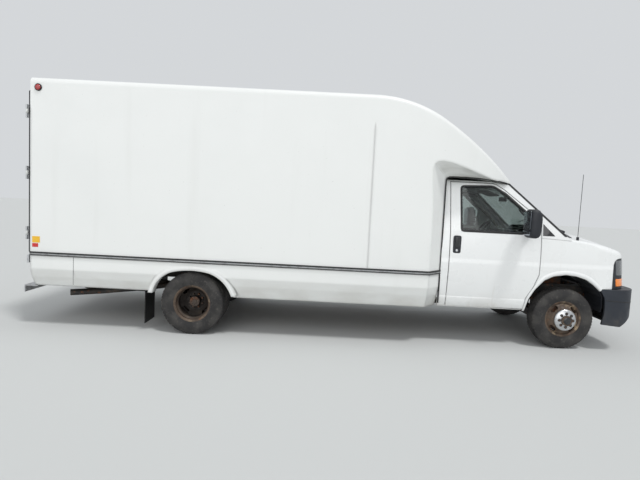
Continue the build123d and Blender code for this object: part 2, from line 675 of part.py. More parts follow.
# Front suspension: crossmember and control arms, with a knuckle between the arms' ends
with BuildPart() as front_suspension:
    with BuildSketch(Plane.YZ.offset(front(-90))):
        with BuildLine():
            ledge = RAIL_BOTTOM - SEAT_GAP
            Polyline((-395, ledge), (-470, ledge), (-440, 330), (-330, 230), (330, 230), (440, 330),
                     (470, ledge), (395, ledge), (300, 330), (-300, 330), close=True)
        make_face()
    extrude(amount=180)
    for side, _ in SIDES:
        with BuildSketch(Plane.XY.offset(329)):
            with Locations((FRONT_X, side * 215)):
                Rectangle(150, 60)
        extrude(amount=ENGINE_BOTTOM - SEAT_GAP - 329)
        for z, inner, thick in ((HUB_Z - ARM_DROP - 36, 320, 34), (HUB_Z + ARM_RISE, RAIL_Y + 20, 30)):
            with BuildSketch(Plane.XY.offset(z)):
                with BuildLine():
                    Polyline((front(-110), side * inner), (front(110), side * inner),
                             (front(38), side * 660), (front(26), side * KINGPIN_Y),
                             (front(-26), side * KINGPIN_Y), (front(-38), side * 660), close=True)
                make_face()
                with Locations((FRONT_X, side * KINGPIN_Y)):
                    Circle(28)
            extrude(amount=thick)
finish(front_suspension.part, "front_suspension")

for side, name in SIDES:
    bottom = HUB_Z - ARM_DROP - 2 + RUNNING_FIT
    top = HUB_Z + ARM_RISE - RUNNING_FIT
    with BuildPart() as knuckle:
        with BuildSketch(Plane.XY.offset(bottom)):
            with Locations((FRONT_X, side * KINGPIN_Y)):
                Circle(24)
        extrude(amount=top - bottom)
        with BuildSketch(Plane.XZ.offset(-side * (KINGPIN_Y + 20))):
            with Locations((FRONT_X, HUB_Z)):
                Circle(62)
        extrude(amount=side * 40)
        with BuildSketch(Plane.XZ.offset(-side * (KINGPIN_Y + SPINDLE_LENGTH))):
            with Locations((FRONT_X, HUB_Z)):
                Circle(SPINDLE_RADIUS)
        extrude(amount=side * SPINDLE_LENGTH)
    finish(knuckle.part, f"knuckle_{name}")


# Cab: one outer form, inset for each panel's inner face. The front end, further down, joins it.
def body_section(inset):
    """Half section across the cab and fenders, mirrored; open below for the inner faces."""
    foot = CAB_BOTTOM - (200 if inset else 0)
    with BuildSketch(Plane.YZ) as section:
        with BuildLine():
            floor = Line((0, foot), (930, foot))
            tuck = Line(floor @ 1, (956, CAB_BOTTOM + 25))
            flank = ThreePointArc(tuck @ 1, (CAB_HALF, 960), (BELT_HALF, BELT_Z))
            window = Line(flank @ 1, (838, 1958))
            cant = ThreePointArc(window @ 1, (818, 1990), (775, 2003))
            ThreePointArc(cant @ 1, (400, 2019), (0, ROOF_TOP))
            mirror(about=Plane.YZ)
        make_face()
        if inset:
            offset(amount=-inset, kind=Kind.INTERSECTION, mode=Mode.REPLACE)
    return section.sketch_local


def cab_form(inset):
    """Cab behind the windshield as one block."""
    section = body_section(inset)
    with BuildPart() as form:
        with BuildSketch(Plane.YZ.offset(CAB_REAR)):
            add(section)
        extrude(amount=CAB_FRONT - CAB_REAR)
        with BuildSketch(SHIELD_PLANE.offset(-1100)):
            with BuildLine():
                bow = ThreePointArc((-1150, SHIELD_EDGE - inset), (0, SHIELD_BOW - inset),
                                    (1150, SHIELD_EDGE - inset))
                Polyline(bow @ 1, (1150, 1000), (-1150, 1000), bow @ 0)
            make_face()
        extrude(amount=2200, mode=Mode.SUBTRACT)
        with BuildSketch(Plane.XZ):
            with BuildLine():
                Polyline(*[(front(x), z - ROOF_CLEAR - inset) for x, z in ROOF_FALL],
                         (front(500), 2300), (front(-1700), 2300), close=True)
            make_face()
        extrude(amount=1200, both=True, mode=Mode.SUBTRACT)
    return form.part


CROWN_REACH = 1700.0          # the falling outer parts are drawn from this far inside CROWN_Y
NOSE_FOOT = CAB_BOTTOM - 200
NOSE_HEIGHT = 1300.0


def nose_plan(inset):
    """Front end's outline from above."""
    with BuildSketch(Plane.XY) as plan:
        with BuildLine():
            flank = Line((front(-700), CAB_HALF + 2), (front(240), CAB_HALF + 2))
            cheek = TangentArc((flank @ 1, (front(630), 930)), tangent=flank % 1)
            corner = TangentArc((cheek @ 1, (front(797), 700)), tangent=cheek % 1)
            ThreePointArc(corner @ 1, (front(832), 0), (front(797), -700))
            for edge in (flank, cheek, corner):
                mirror(edge, about=Plane.XZ)
            Line((front(-700), CAB_HALF + 2), (front(-700), -CAB_HALF - 2))
        make_face()
        if inset:
            offset(amount=-inset, kind=Kind.INTERSECTION, mode=Mode.REPLACE)
    return plan.sketch_local


def leaning_block(plan):
    """Front end's outline drawn upwards, leaning back."""
    with BuildPart() as form:
        with BuildSketch(Plane.XY.offset(NOSE_FOOT)):
            with Locations((LEAN * (LEAN_Z - NOSE_FOOT), 0)):
                add(plan)
        extrude(amount=NOSE_HEIGHT * math.hypot(1, LEAN), dir=(-LEAN, 0, 1))
    return form.part


def nose_form(inset):
    """Front end as one block: leaning plan, hood line, falling outer parts, shoulders, section."""
    upright = leaning_block(nose_plan(inset))
    with BuildSketch(Plane.YZ) as section:
        with BuildLine():
            floor = Line((0, NOSE_FOOT), (930, NOSE_FOOT))
            tuck = Line(floor @ 1, (956, CAB_BOTTOM + 25))
            side_arc = ThreePointArc(tuck @ 1, (CAB_HALF, 960), (BELT_HALF, BELT_Z))
            Polyline(side_arc @ 1, (BELT_HALF - 12, BELT_Z + 90), (0, BELT_Z + 90))
            mirror(about=Plane.YZ)
        make_face()
        if inset:
            offset(amount=-inset, kind=Kind.INTERSECTION, mode=Mode.REPLACE)
    with BuildPart() as form:
        add(upright)
        with BuildSketch(Plane.XZ):
            with BuildLine():
                cowl = Line((front(-600), 1355 - inset), (front(-36), 1396 - inset))
                hood_line = TangentArc((cowl @ 1, (front(745) - inset, 1245 - inset)), tangent=cowl % 1)
                brow = TangentArc((hood_line @ 1, (front(838) - inset, 1110)), tangent=hood_line % 1)
                Polyline(brow @ 1, (front(900) - inset, 700), (front(900) - inset, 200), (front(-600), 200),
                         cowl @ 0)
            make_face()
        extrude(amount=1100, both=True, mode=Mode.INTERSECT)
        for side, _ in SIDES:
            with BuildSketch(Plane.XZ.offset(side * (CROWN_REACH - CROWN_Y))):
                with BuildLine():
                    rise = CROWN * CROWN_REACH - inset
                    cowl = Line((front(-600), 1430 + rise), (front(-36), 1409 + rise))
                    hood_line = TangentArc((cowl @ 1, (front(715) - inset, 1255 + rise)), tangent=cowl % 1)
                    brow = TangentArc((hood_line @ 1, (front(838) - inset, 1090 + rise)),
                                      tangent=hood_line % 1)
                    Polyline(brow @ 1, (front(1000), 1000 + rise), (front(1000), -300), (front(-600), -300),
                             cowl @ 0)
                make_face()
            extrude(amount=2400 * math.hypot(1, CROWN), dir=(0, side, -CROWN), mode=Mode.INTERSECT)
        shoulders = edges().filter_by(lambda e: e.center().Z > 1080 and abs(e.center().Y) > 640)
        fillet(shoulders.filter_by(lambda e: e.bounding_box().size.X > 20), radius=SHOULDER - inset)
        with BuildSketch(Plane.YZ.offset(front(-700))):
            add(section.sketch_local)
        extrude(amount=1700, mode=Mode.INTERSECT)
    return form.part


def side_prism(points, y0, y1, radius=0, inset=0):
    """Outline seen from the side, drawn through both sides between two distances from the middle."""
    with BuildPart() as prism:
        for side, _ in SIDES:
            with BuildSketch(Plane.XZ.offset(-side * y0)):
                with BuildLine():
                    Polyline(*[(front(x), z) for x, z in points], close=True)
                make_face()
                if radius:
                    fillet(vertices(), radius=radius)
                if inset:
                    offset(amount=-inset, kind=Kind.INTERSECTION, mode=Mode.REPLACE)
            extrude(amount=-side * (y1 - y0))
    return prism.part


def shield_prism(grow):
    """Windshield outline drawn straight through the glass."""
    with BuildPart() as prism:
        with BuildSketch(Plane(origin=SHIELD_PLANE.origin, x_dir=(0, 1, 0), z_dir=SHIELD_PLANE.y_dir)):
            with BuildLine():
                head = ThreePointArc((-SHIELD_TOP, SHIELD_UP), (0, SHIELD_UP - 118), (SHIELD_TOP, SHIELD_UP))
                foot = ThreePointArc((-SHIELD_FOOT, SHIELD_DOWN), (0, SHIELD_DOWN - 112),
                                     (SHIELD_FOOT, SHIELD_DOWN))
                Line(head @ 0, foot @ 0)
                Line(head @ 1, foot @ 1)
            make_face()
            fillet(vertices(), radius=60)
            if grow:
                offset(amount=grow, mode=Mode.REPLACE)
        extrude(amount=400, both=True)
    return prism.part


cab_outer = cab_form(0)
cab_inner = cab_form(CAB_WALL)
nose_outer = nose_form(0)

# Door outline from the side. Columns: place from the front axle, height
DOOR_OUTLINE = [(-1446, 486), (-507, 466), (-488, 599), (-408, 754), (-357, 906), (-357, 1545), (-496, 1668),
                (-790, 1900), (-876, 1956), (-930, 1976), (-1446, 1976)]
WINDOW_OUTLINE = [(-1314, 1392), (-531, 1392), (-521, 1640), (-777, 1858), (-935, 1942), (-1318, 1926)]
PANEL_TOP = 1353.0            # fender and cowl joint at the door's front edge
door_prism = side_prism(DOOR_OUTLINE, 700, 1100)
window_prism = side_prism(WINDOW_OUTLINE, 700, 1100, WINDOW_RADIUS)
glass_prism = side_prism(WINDOW_OUTLINE, 700, 1100, WINDOW_RADIUS, SEAT_GAP)
with BuildSketch(Plane.XZ) as door_gap:
    with BuildLine():
        Polyline(*[(front(x), z) for x, z in DOOR_OUTLINE], close=True)
    make_face()
    offset(amount=DOOR_GAP, kind=Kind.INTERSECTION, mode=Mode.REPLACE)
with BuildPart() as door_hole:
    for side, _ in SIDES:
        with BuildSketch(Plane.XZ.offset(-side * 700)):
            add(door_gap.sketch_local)
        extrude(amount=-side * 400)

with BuildPart() as cowl_zone:
    with BuildSketch(Plane.XY.offset(1200)):
        with BuildLine():
            lip_half = HOOD_REAR - HOOD_GAP
            lip = ThreePointArc((front(LIP_END - 8), -lip_half), (front(LIP_MIDDLE - 8), 0),
                                (front(LIP_END - 8), lip_half))
            Polyline(lip @ 1, (front(-200), lip_half), (front(-200), -lip_half), lip @ 0)
        make_face()
    extrude(amount=300)
cowl_panel = ((nose_outer & cowl_zone.part) - nose_form(COWL_WALL)) - cab_form(-SEAT_GAP)
front_zone = side_prism([(-505, 250), (-505, 446), (-488, 595), (-408, 750), (-357, 902), (-357, 1500),
                         (900, 1500), (900, 250)], 0, 1100)
front_end = nose_outer & front_zone
with BuildPart() as cowl:
    add(cowl_panel)
finish(cowl.part, "cowl")

with BuildPart() as cab_body:
    add(cab_outer)
    add(cab_inner, mode=Mode.SUBTRACT)
    add(door_hole.part, mode=Mode.SUBTRACT)
    add(shield_prism(0), mode=Mode.SUBTRACT)
    add(front_end, mode=Mode.SUBTRACT)
    for side, _ in SIDES:
        with BuildSketch(Plane.YZ.offset(front(-1446 - DOOR_GAP) - 5)):
            with Locations((side * STRIKER_Y, STRIKER_Z)):
                Circle(8)
        extrude(amount=STRIKER_LENGTH)
finish(cab_body.part, "cab_body")

door_inner = cab_form(DOOR_THICK)
rebate_zone = block(front(-1500), front(-1446) + REBATE, -1100, 1100, 400, 2100) & cab_form(REBATE_SKIN)
door_shell = (cab_outer & door_prism) - door_inner - window_prism - rebate_zone
glass_outer = cab_form(GLASS_INSET)
glass_inner = cab_form(GLASS_INSET + GLASS)
glass_sheet = glass_outer - glass_inner
side_glass = glass_sheet & glass_prism
for side, name in SIDES:
    half_space = block(CAB_REAR, CAB_FRONT, min(0, side * 1200), max(0, side * 1200), 200, 2200)
    door_half = door_shell & half_space
    glass_half = side_glass & half_space
    with BuildPart() as cab_door:
        add(door_half)
        with BuildSketch(Plane.YZ.offset(front(-1446) - 5)):
            with Locations((side * (STRIKER_Y - 40), STRIKER_Z)):
                Rectangle(80 + 16 + 2 * RUNNING_FIT, 16 + 2 * RUNNING_FIT)
        extrude(amount=STRIKER_LENGTH, mode=Mode.SUBTRACT)
    finish(cab_door.part, f"cab_door_{name}")
    with BuildPart() as door_glass:
        add(glass_half)
    finish(door_glass.part, f"door_glass_{name}")

shield_glass = glass_sheet & shield_prism(-SEAT_GAP)
with BuildPart() as windshield:
    add(shield_glass)
finish(windshield.part, "windshield")

# Front end: skins of the nose form, parted at the hood's and lamps' shut lines
nose_skin = nose_form(FENDER_WALL)
nose_hood = nose_form(HOOD_WALL)
FENDER_OUTLINE = [(-499, 446), (-480, 595), (-400, 750), (-349, 902), (-349, PANEL_TOP), (-349, 1420),
                  (900, 1420), (900, BUMPER_TOP + SHUT), (406 - SHUT, BUMPER_TOP + SHUT),
                  (406 - SHUT, 735), (-120, 446)]
# Front wheel arch's edge. Columns: place from the front axle, height
ARCH_CURVE = [(-476, 300), (-476, 458), (-444, 602), (-380, 726), (-282, 841), (-179, 895), (-30, 920),
              (100, 908), (222, 872), (324, 806), (407, 735)]
wheel_gap = [*ARCH_CURVE, (420, 300)]
with BuildPart() as hood_zone:
    with BuildSketch(Plane.XY.offset(GRILLE_TOP)):
        with BuildLine():
            lip = ThreePointArc((front(LIP_END), -HOOD_REAR), (front(LIP_MIDDLE), 0),
                                (front(LIP_END), HOOD_REAR))
            Polyline(lip @ 1, (front(900), HOOD_FRONT), (front(900), -HOOD_FRONT), lip @ 0)
        make_face()
    extrude(amount=500)
# Headlamps from the side, with the corner towards the wheel taken off. Columns: place from the front
# axle, height
LAMP_OUTLINE = [(565, LAMP_BOTTOM), (900, LAMP_BOTTOM), (900, LAMP_TOP), (650, LAMP_TOP), (610, 1130),
                (580, 1105), (565, 1062)]
lamp_zone = side_prism(LAMP_OUTLINE, LAMP_INNER, 1100)
lamp_hole = side_prism(LAMP_OUTLINE, 400, 1200, inset=-SHUT)

with BuildPart() as hood_hole:
    with BuildSketch(Plane.XY.offset(LAMP_BOTTOM - 60)):
        with BuildLine():
            half_hole = [(-360, HOOD_REAR + HOOD_GAP), (LIP_END, HOOD_REAR + HOOD_GAP),
                         (900, HOOD_FRONT + HOOD_GAP)]
            other_half = [(x, -y) for x, y in reversed(half_hole)]
            Polyline(*[(front(x), y) for x, y in half_hole + other_half], close=True)
        make_face()
    extrude(amount=800)
fender_panels = nose_outer & side_prism(FENDER_OUTLINE, 500, 1100)
for cut in (side_prism(wheel_gap, 500, 1100), hood_hole.part, lamp_hole, nose_skin):
    fender_panels = fender_panels - cut
with BuildPart() as fenders:
    add(fender_panels)
finish(fenders.part, "fenders")

hood_skin = (nose_outer & hood_zone.part) - nose_hood
with BuildPart() as hood:
    add(hood_skin)
finish(hood.part, "hood")

lamp_blocks = (nose_outer & lamp_zone) - leaning_block(nose_plan(LAMP_DEPTH))
with BuildPart() as headlamps:
    add(lamp_blocks)
finish(headlamps.part, "headlamps")

STUD_X = front(784)           # rests under the hood's front edge
STUD_Y = 450.0
grille_half = LAMP_INNER - SHUT
grille_zone = block(front(600), front(900), -grille_half, grille_half, BUMPER_TOP + SHUT, GRILLE_TOP - 5)
grille_skin = (nose_outer & grille_zone) - nose_skin
with BuildPart() as grille:
    add(grille_skin)
    with BuildSketch(Plane.YZ.offset(front(600))):
        with Locations(*[(0, z) for z in (846, 906, 966, 1026, 1086)]):
            SlotOverall(2 * LAMP_INNER - 90, 38)
    extrude(amount=400, mode=Mode.SUBTRACT)
    with BuildSketch(Plane.XY.offset(GRILLE_TOP - 6)):
        with Locations((STUD_X, STUD_Y), (STUD_X, -STUD_Y)):
            Circle(7)
    extrude(amount=6 - RUNNING_FIT)
finish(grille.part, "grille")

# Front bumper: moulded shell wrapped round the corners, open behind
BUMPER_OUTLINE = [(406, BUMPER_TOP), (426, 729), (470, 660), (482, 553), (480, 454), (458, 332), (685, 312),
                  (761, 362), (915, 480), (947, 611), (FRONT_OVERHANG, 722), (917, BUMPER_TOP)]


def bumper_form(inset):
    """Bumper as one block: side outline crossed with the plan."""
    with BuildPart() as form:
        with BuildSketch(Plane.XZ):
            with BuildLine():
                Polyline(*[(front(x), z) for x, z in BUMPER_OUTLINE], close=True)
            make_face()
            if inset:
                offset(amount=-inset, kind=Kind.INTERSECTION, mode=Mode.REPLACE)
        extrude(amount=1100, both=True)
        with BuildSketch(Plane.XY.offset(250)):
            with BuildLine():
                flank = Line((front(300), BUMPER_HALF), (front(640), BUMPER_HALF))
                corner = TangentArc((flank @ 1, (front(905), 770)), tangent=flank % 1)
                ThreePointArc(corner @ 1, (front(FRONT_OVERHANG), 0), (front(905), -770))
                mirror(flank, about=Plane.XZ)
                mirror(corner, about=Plane.XZ)
                Line((front(300), BUMPER_HALF), (front(300), -BUMPER_HALF))
            make_face()
            if inset:
                offset(amount=-inset, kind=Kind.INTERSECTION, mode=Mode.REPLACE)
        extrude(amount=700, mode=Mode.INTERSECT)
    return form.part


bumper_outer = bumper_form(0)
bumper_inner = bumper_form(BUMPER_WALL)
back_half = BUMPER_HALF - BUMPER_WALL - SHUT
bumper_back = block(front(300), front(640), -back_half, back_half, 250, 800)
with BuildPart() as front_bumper:
    add(bumper_outer)
    add(bumper_inner, mode=Mode.SUBTRACT)
    add(bumper_back, mode=Mode.SUBTRACT)
finish(front_bumper.part, "front_bumper")

# Front wheelhouses: liners along the arches, from the frame out to the fenders
HOUSE_OUTLINE = [*ARCH_CURVE, (450, 664), (468, 553), (464, 454), (464, 300)]
with BuildPart() as wheelhouses:
    for side, _ in SIDES:
        with BuildSketch(Plane.XZ.offset(-side * HOUSE_INNER)):
            with BuildLine():
                Polyline(*[(front(x), z) for x, z in HOUSE_OUTLINE], close=True)
            make_face()
            offset(amount=HOUSE_WALL, kind=Kind.INTERSECTION, mode=Mode.REPLACE)
            with BuildLine():
                Polyline(*[(front(x), z) for x, z in HOUSE_OUTLINE], close=True)
            make_face(mode=Mode.SUBTRACT)
            with Locations((FRONT_X, 0)):
                Rectangle(1200, 2 * HOUSE_FOOT, mode=Mode.SUBTRACT)
        extrude(amount=-side * (HOUSE_OUTER - HOUSE_INNER))
fitted_houses = wheelhouses.part & nose_form(FENDER_WALL + SEAT_GAP)
finish(fitted_houses, "wheelhouses")

# Cab inside
firewall_x = front(-196)
low = RAIL_TOP + SEAT_GAP
floor_ears = block(FLOOR_REAR, FLOOR_REAR + 40, -1000, 1000, low, CAB_FLOOR_TOP)
floor_ears = floor_ears & cab_form(CAB_WALL + SEAT_GAP)
posts = block(front(-343), front(-283), -940, 940, 855, 1500)
posts = posts - block(front(-350), front(-270), -870, 870, 700, 1500)
hinge_posts = posts & nose_form(FENDER_WALL + SEAT_GAP)
COVER_WALL = 14.0
cover_inner = COVER_HALF - COVER_WALL
engine_cover = block(front(-640), firewall_x, -COVER_HALF, COVER_HALF, CAB_FLOOR_TOP - 10, 1075)
cover_space = block(front(-622), front(-100), -cover_inner, cover_inner, 700, 1075 - COVER_WALL)
with BuildPart() as cab_floor:
    add(floor_ears)
    add(hinge_posts)
    with BuildSketch(Plane.XZ):
        with BuildLine():
            Polyline((FLOOR_REAR, low), (front(-512), low), (firewall_x, 992), (firewall_x, FIREWALL_TOP),
                     (firewall_x - 20, FIREWALL_TOP), (firewall_x - 20, 1004), (front(-520), CAB_FLOOR_TOP),
                     (FLOOR_REAR, CAB_FLOOR_TOP), close=True)
        make_face()
    extrude(amount=CAB_FLOOR_HALF, both=True)
    add(engine_cover)
    add(cover_space, mode=Mode.SUBTRACT)
    for side, _ in SIDES:
        with BuildSketch(Plane.YZ.offset(front(-1400))):
            with BuildLine():
                Polyline((side * 800, low + 5), (side * 785, low + 5), (side * 785, 470), (side * 886, 470),
                         (side * 886, 488), (side * 800, 488), close=True)
            make_face()
        extrude(amount=860)
finish(cab_floor.part, "cab_floor")

dash_back = firewall_x - 20 - SEAT_GAP
with BuildPart() as dashboard:
    with BuildSketch(Plane.XZ):
        with BuildLine():
            Polyline((dash_back, FIREWALL_TOP), (front(-240), FIREWALL_TOP + 4), (front(-430), 1300),
                     (front(-460), 1230),
                     (front(-400), 1085), (dash_back, 1085), close=True)
        make_face()
    extrude(amount=DASH_HALF, both=True)
finish(dashboard.part, "dashboard")

# Columns: place from the seat's rear foot, height over the cab floor
SEAT_OUTLINE = [(0, SEAT_GAP), (380, SEAT_GAP), (400, 215), (500, 265), (495, 365), (135, 335), (-10, 895),
                (-90, 1065), (-160, 1055), (-160, 905), (-10, 225)]
with BuildPart() as seats:
    for side, _ in SIDES:
        with BuildSketch(Plane.XZ.offset(-side * SEAT_Y)):
            with BuildLine():
                Polyline(*[(SEAT_FOOT + x, CAB_FLOOR_TOP + z) for x, z in SEAT_OUTLINE], close=True)
            make_face()
        extrude(amount=SEAT_WIDTH / 2, both=True)
finish(seats.part, "seats")

wheel_plane = Plane(origin=(front(-600), SEAT_Y, 1335), x_dir=(0, 1, 0), z_dir=(-0.84, 0, 0.54))
with BuildPart() as steering_wheel:
    with BuildSketch(Plane(origin=wheel_plane.origin, x_dir=wheel_plane.z_dir, z_dir=(0, 1, 0))):
        with Locations((0, 185)):
            Circle(15)
    revolve(axis=Axis(wheel_plane.origin, wheel_plane.z_dir))
    with BuildSketch(wheel_plane.offset(-18)):
        Circle(55)
        Rectangle(380, 34)
        with Locations((0, -90)):
            Rectangle(34, 180)
    extrude(amount=22)
    with BuildSketch(wheel_plane.offset(-16)):
        Circle(30)
    extrude(amount=-235)
    add(dashboard.part, mode=Mode.SUBTRACT)
finish(steering_wheel.part, "steering_wheel")

for side, name in SIDES:
    with BuildPart() as mirror_head:
        with BuildSketch(Plane.XZ.offset(-side * MIRROR_INNER)):
            with Locations((front(-532), 1521)):
                RectangleRounded(96, 336, 30)
        extrude(amount=-side * MIRROR_WIDTH)
        with BuildSketch(Plane.XZ.offset(-side * 940)):
            with Locations((front(-490), 1470)):
                RectangleRounded(50, 56, 14)
        extrude(amount=-side * (MIRROR_INNER - 930))
        with BuildSketch(Plane.XZ.offset(-side * 880)):
            with BuildLine():
                Polyline((front(-515), 1400), (front(-380), 1400), (front(-380), 1545), (front(-480), 1620),
                         close=True)
            make_face()
        extrude(amount=-side * 108)
        add(cab_outer, mode=Mode.SUBTRACT)
    finish(mirror_head.part, f"mirror_{name}")

with BuildPart() as marker_lamps:
    for side, _ in SIDES:
        with BuildSketch(Plane.XZ.offset(-side * (BOX_HALF + SEAT_GAP))):
            with Locations((rear(-1813), 2791)):
                Circle(38)
        extrude(amount=-side * 14)
finish(marker_lamps.part, "marker_lamps")

with BuildPart() as tail_lamps:
    with BuildSketch(Plane.YZ.offset(BOX_REAR - FRAME_PROUD - 24 - SEAT_GAP)):
        with Locations((-BOX_HALF + 150, SILL_STRIP_BOTTOM + 45), (BOX_HALF - 150, SILL_STRIP_BOTTOM + 45)):
            RectangleRounded(170, 64, 14)
    extrude(amount=-18)
finish(tail_lamps.part, "tail_lamps")

with BuildPart() as antenna:
    with BuildSketch(Plane.XY.offset(1320)):
        with Locations((front(110), -930)):
            Circle(16)
    extrude(amount=60)
    with BuildSketch(Plane.XY.offset(1375)):
        with Locations((front(110), -930)):
            Circle(3)
    extrude(amount=760)
    add(nose_outer, mode=Mode.SUBTRACT)
finish(antenna.part, "antenna")
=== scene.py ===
"""Finishes, trim and small parts of the box truck, laid on the fixed frame.

Metres. +X is forward, +Y the left side, +Z up. Places along the truck are measured from the front
or the rear axle with front() and rear().
"""
import json
from math import atan2, cos, hypot, pi, radians, sin, sqrt

import bmesh
import bpy
from mathutils import Matrix, Vector


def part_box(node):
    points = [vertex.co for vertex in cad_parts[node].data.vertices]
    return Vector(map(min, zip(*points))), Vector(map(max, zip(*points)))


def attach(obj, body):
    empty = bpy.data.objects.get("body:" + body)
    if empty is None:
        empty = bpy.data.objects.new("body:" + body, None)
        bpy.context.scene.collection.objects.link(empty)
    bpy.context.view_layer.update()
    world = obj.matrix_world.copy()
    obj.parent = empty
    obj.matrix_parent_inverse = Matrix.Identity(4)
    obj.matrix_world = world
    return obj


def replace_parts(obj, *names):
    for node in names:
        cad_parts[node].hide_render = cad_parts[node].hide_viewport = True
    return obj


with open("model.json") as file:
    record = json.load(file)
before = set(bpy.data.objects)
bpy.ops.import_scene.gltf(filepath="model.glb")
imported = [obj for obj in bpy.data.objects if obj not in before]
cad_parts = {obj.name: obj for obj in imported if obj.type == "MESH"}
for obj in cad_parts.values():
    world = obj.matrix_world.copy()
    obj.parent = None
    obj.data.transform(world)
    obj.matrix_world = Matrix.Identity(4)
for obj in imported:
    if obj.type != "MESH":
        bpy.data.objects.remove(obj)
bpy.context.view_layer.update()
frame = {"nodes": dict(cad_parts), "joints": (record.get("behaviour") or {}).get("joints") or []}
NODES = frame["nodes"]
JOINTS = {joint["name"]: joint for joint in frame["joints"]}
SIDES = (("right", -1), ("left", 1))
TRUCK = "truck"

# Places and sizes, from the frame
FRONT_HUB = Vector(JOINTS["front_wheel_spin_right"]["pos_m"])
REAR_HUB = Vector(JOINTS["rear_wheels_spin_right"]["pos_m"])
HUB_Z = FRONT_HUB.z
TYRE_LOW, TYRE_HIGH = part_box("front_tyre_right")
TYRE_RADIUS = (TYRE_HIGH.z - TYRE_LOW.z) / 2
TYRE_HALF = (TYRE_HIGH.y - TYRE_LOW.y) / 2
TWIN_LOW, TWIN_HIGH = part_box("rear_tyres_left")
TWIN_HALF = (TWIN_HIGH.y - TWIN_LOW.y) / 2 - TYRE_HALF
BOX_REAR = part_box("box_sides")[0].x
BOX_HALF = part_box("box_sides")[1].y
RAIL_LOW, RAIL_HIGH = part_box("rub_rails")
LEAF_FACE = BOX_REAR - 0.010
SEAT_Y = 0.450

# Cab side, as (height, half width): tuck at the sill, widest, belt, and the top of the side window
TUCK = (0.475, 0.956)
WIDEST = (0.960, 1.012)
BELT = (1.390, 0.985)
CANT = (1.958, 0.838)

# Plan of the front end from the axle: flank's end, cheek's end, corner's end and the nose, and its lean
FLANK_END, CHEEK_END, CORNER_END, NOSE_MIDDLE = (0.240, 1.014), (0.630, 0.930), (0.797, 0.700), 0.832
LEAN, LEAN_Z = 0.10, 0.920


def front(x):
    """Place along the truck, measured forward from the front axle."""
    return FRONT_HUB.x + x


def rear(x):
    """Place along the truck, measured forward from the rear axle."""
    return REAR_HUB.x + x


def each_side(build):
    """Makes a builder for one side run for both, with the side's name and its sign."""
    def run():
        for name, side in SIDES:
            build(name, side)
    return run


def circle_through(a, b, c):
    """Centre and radius of the circle through three points."""
    (ax, ay), (bx, by), (cx, cy) = a, b, c
    d = 2 * (ax * (by - cy) + bx * (cy - ay) + cx * (ay - by))
    a2, b2, c2 = ax * ax + ay * ay, bx * bx + by * by, cx * cx + cy * cy
    x = (a2 * (by - cy) + b2 * (cy - ay) + c2 * (ay - by)) / d
    y = (a2 * (cx - bx) + b2 * (ax - cx) + c2 * (bx - ax)) / d
    return x, y, hypot(ax - x, ay - y)


SIDE_Z, SIDE_Y, SIDE_R = circle_through(TUCK, WIDEST, BELT)


def cab_half(z):
    """Half width of the cab's skin at a height."""
    if z <= BELT[0]:
        return SIDE_Y + sqrt(SIDE_R ** 2 - (z - SIDE_Z) ** 2)
    return BELT[1] - (z - BELT[0]) * (BELT[1] - CANT[1]) / (CANT[0] - BELT[0])


def tangent_arc(start, heading, end):
    """Centre, radius and last heading of the arc that leaves a point along a heading and turns right."""
    start, heading, end = Vector(start), Vector(heading).normalized(), Vector(end)
    inward = Vector((heading.y, -heading.x))
    chord = end - start
    radius = chord.length_squared / (2 * chord.dot(inward))
    centre = start + inward * radius
    spoke = (end - centre) / radius
    return centre, radius, Vector((spoke.y, -spoke.x))


CHEEK = tangent_arc(FLANK_END, (1, 0), CHEEK_END)
CORNER = tangent_arc(CHEEK_END, CHEEK[2], CORNER_END)
FACE_X, _, FACE_R = circle_through((CORNER_END[0], -CORNER_END[1]), (NOSE_MIDDLE, 0.0), CORNER_END)


def fender_half(x, z):
    """Half width of the front end at a place forward of the front axle and a height."""
    x -= LEAN * (LEAN_Z - z)
    if x <= FLANK_END[0]:
        return cab_half(z)
    centre, radius, _ = CHEEK if x <= CHEEK_END[0] else CORNER
    return min(cab_half(z), centre.y + sqrt(max(0.0, radius ** 2 - (x - centre.x) ** 2)))


def nose_line(y, z=LEAN_Z):
    """Forward reach of the front end at a half width and a height, from the front axle."""
    y, lean = abs(y), LEAN * (LEAN_Z - z)
    if y <= CORNER_END[1]:
        return FACE_X + sqrt(FACE_R ** 2 - y ** 2) + lean
    centre, radius, _ = CORNER if y <= CHEEK_END[1] else CHEEK
    return centre.x + sqrt(max(0.0, radius ** 2 - (y - centre.y) ** 2)) + lean


# Finishes
DUST = (0.30, 0.25, 0.18)
GRIME = (0.13, 0.12, 0.10)
RUST = (0.20, 0.075, 0.03)


def shade(colour, share, lift=0.0):
    """A colour made darker or paler."""
    return tuple(min(1.0, c * share + lift) for c in colour)


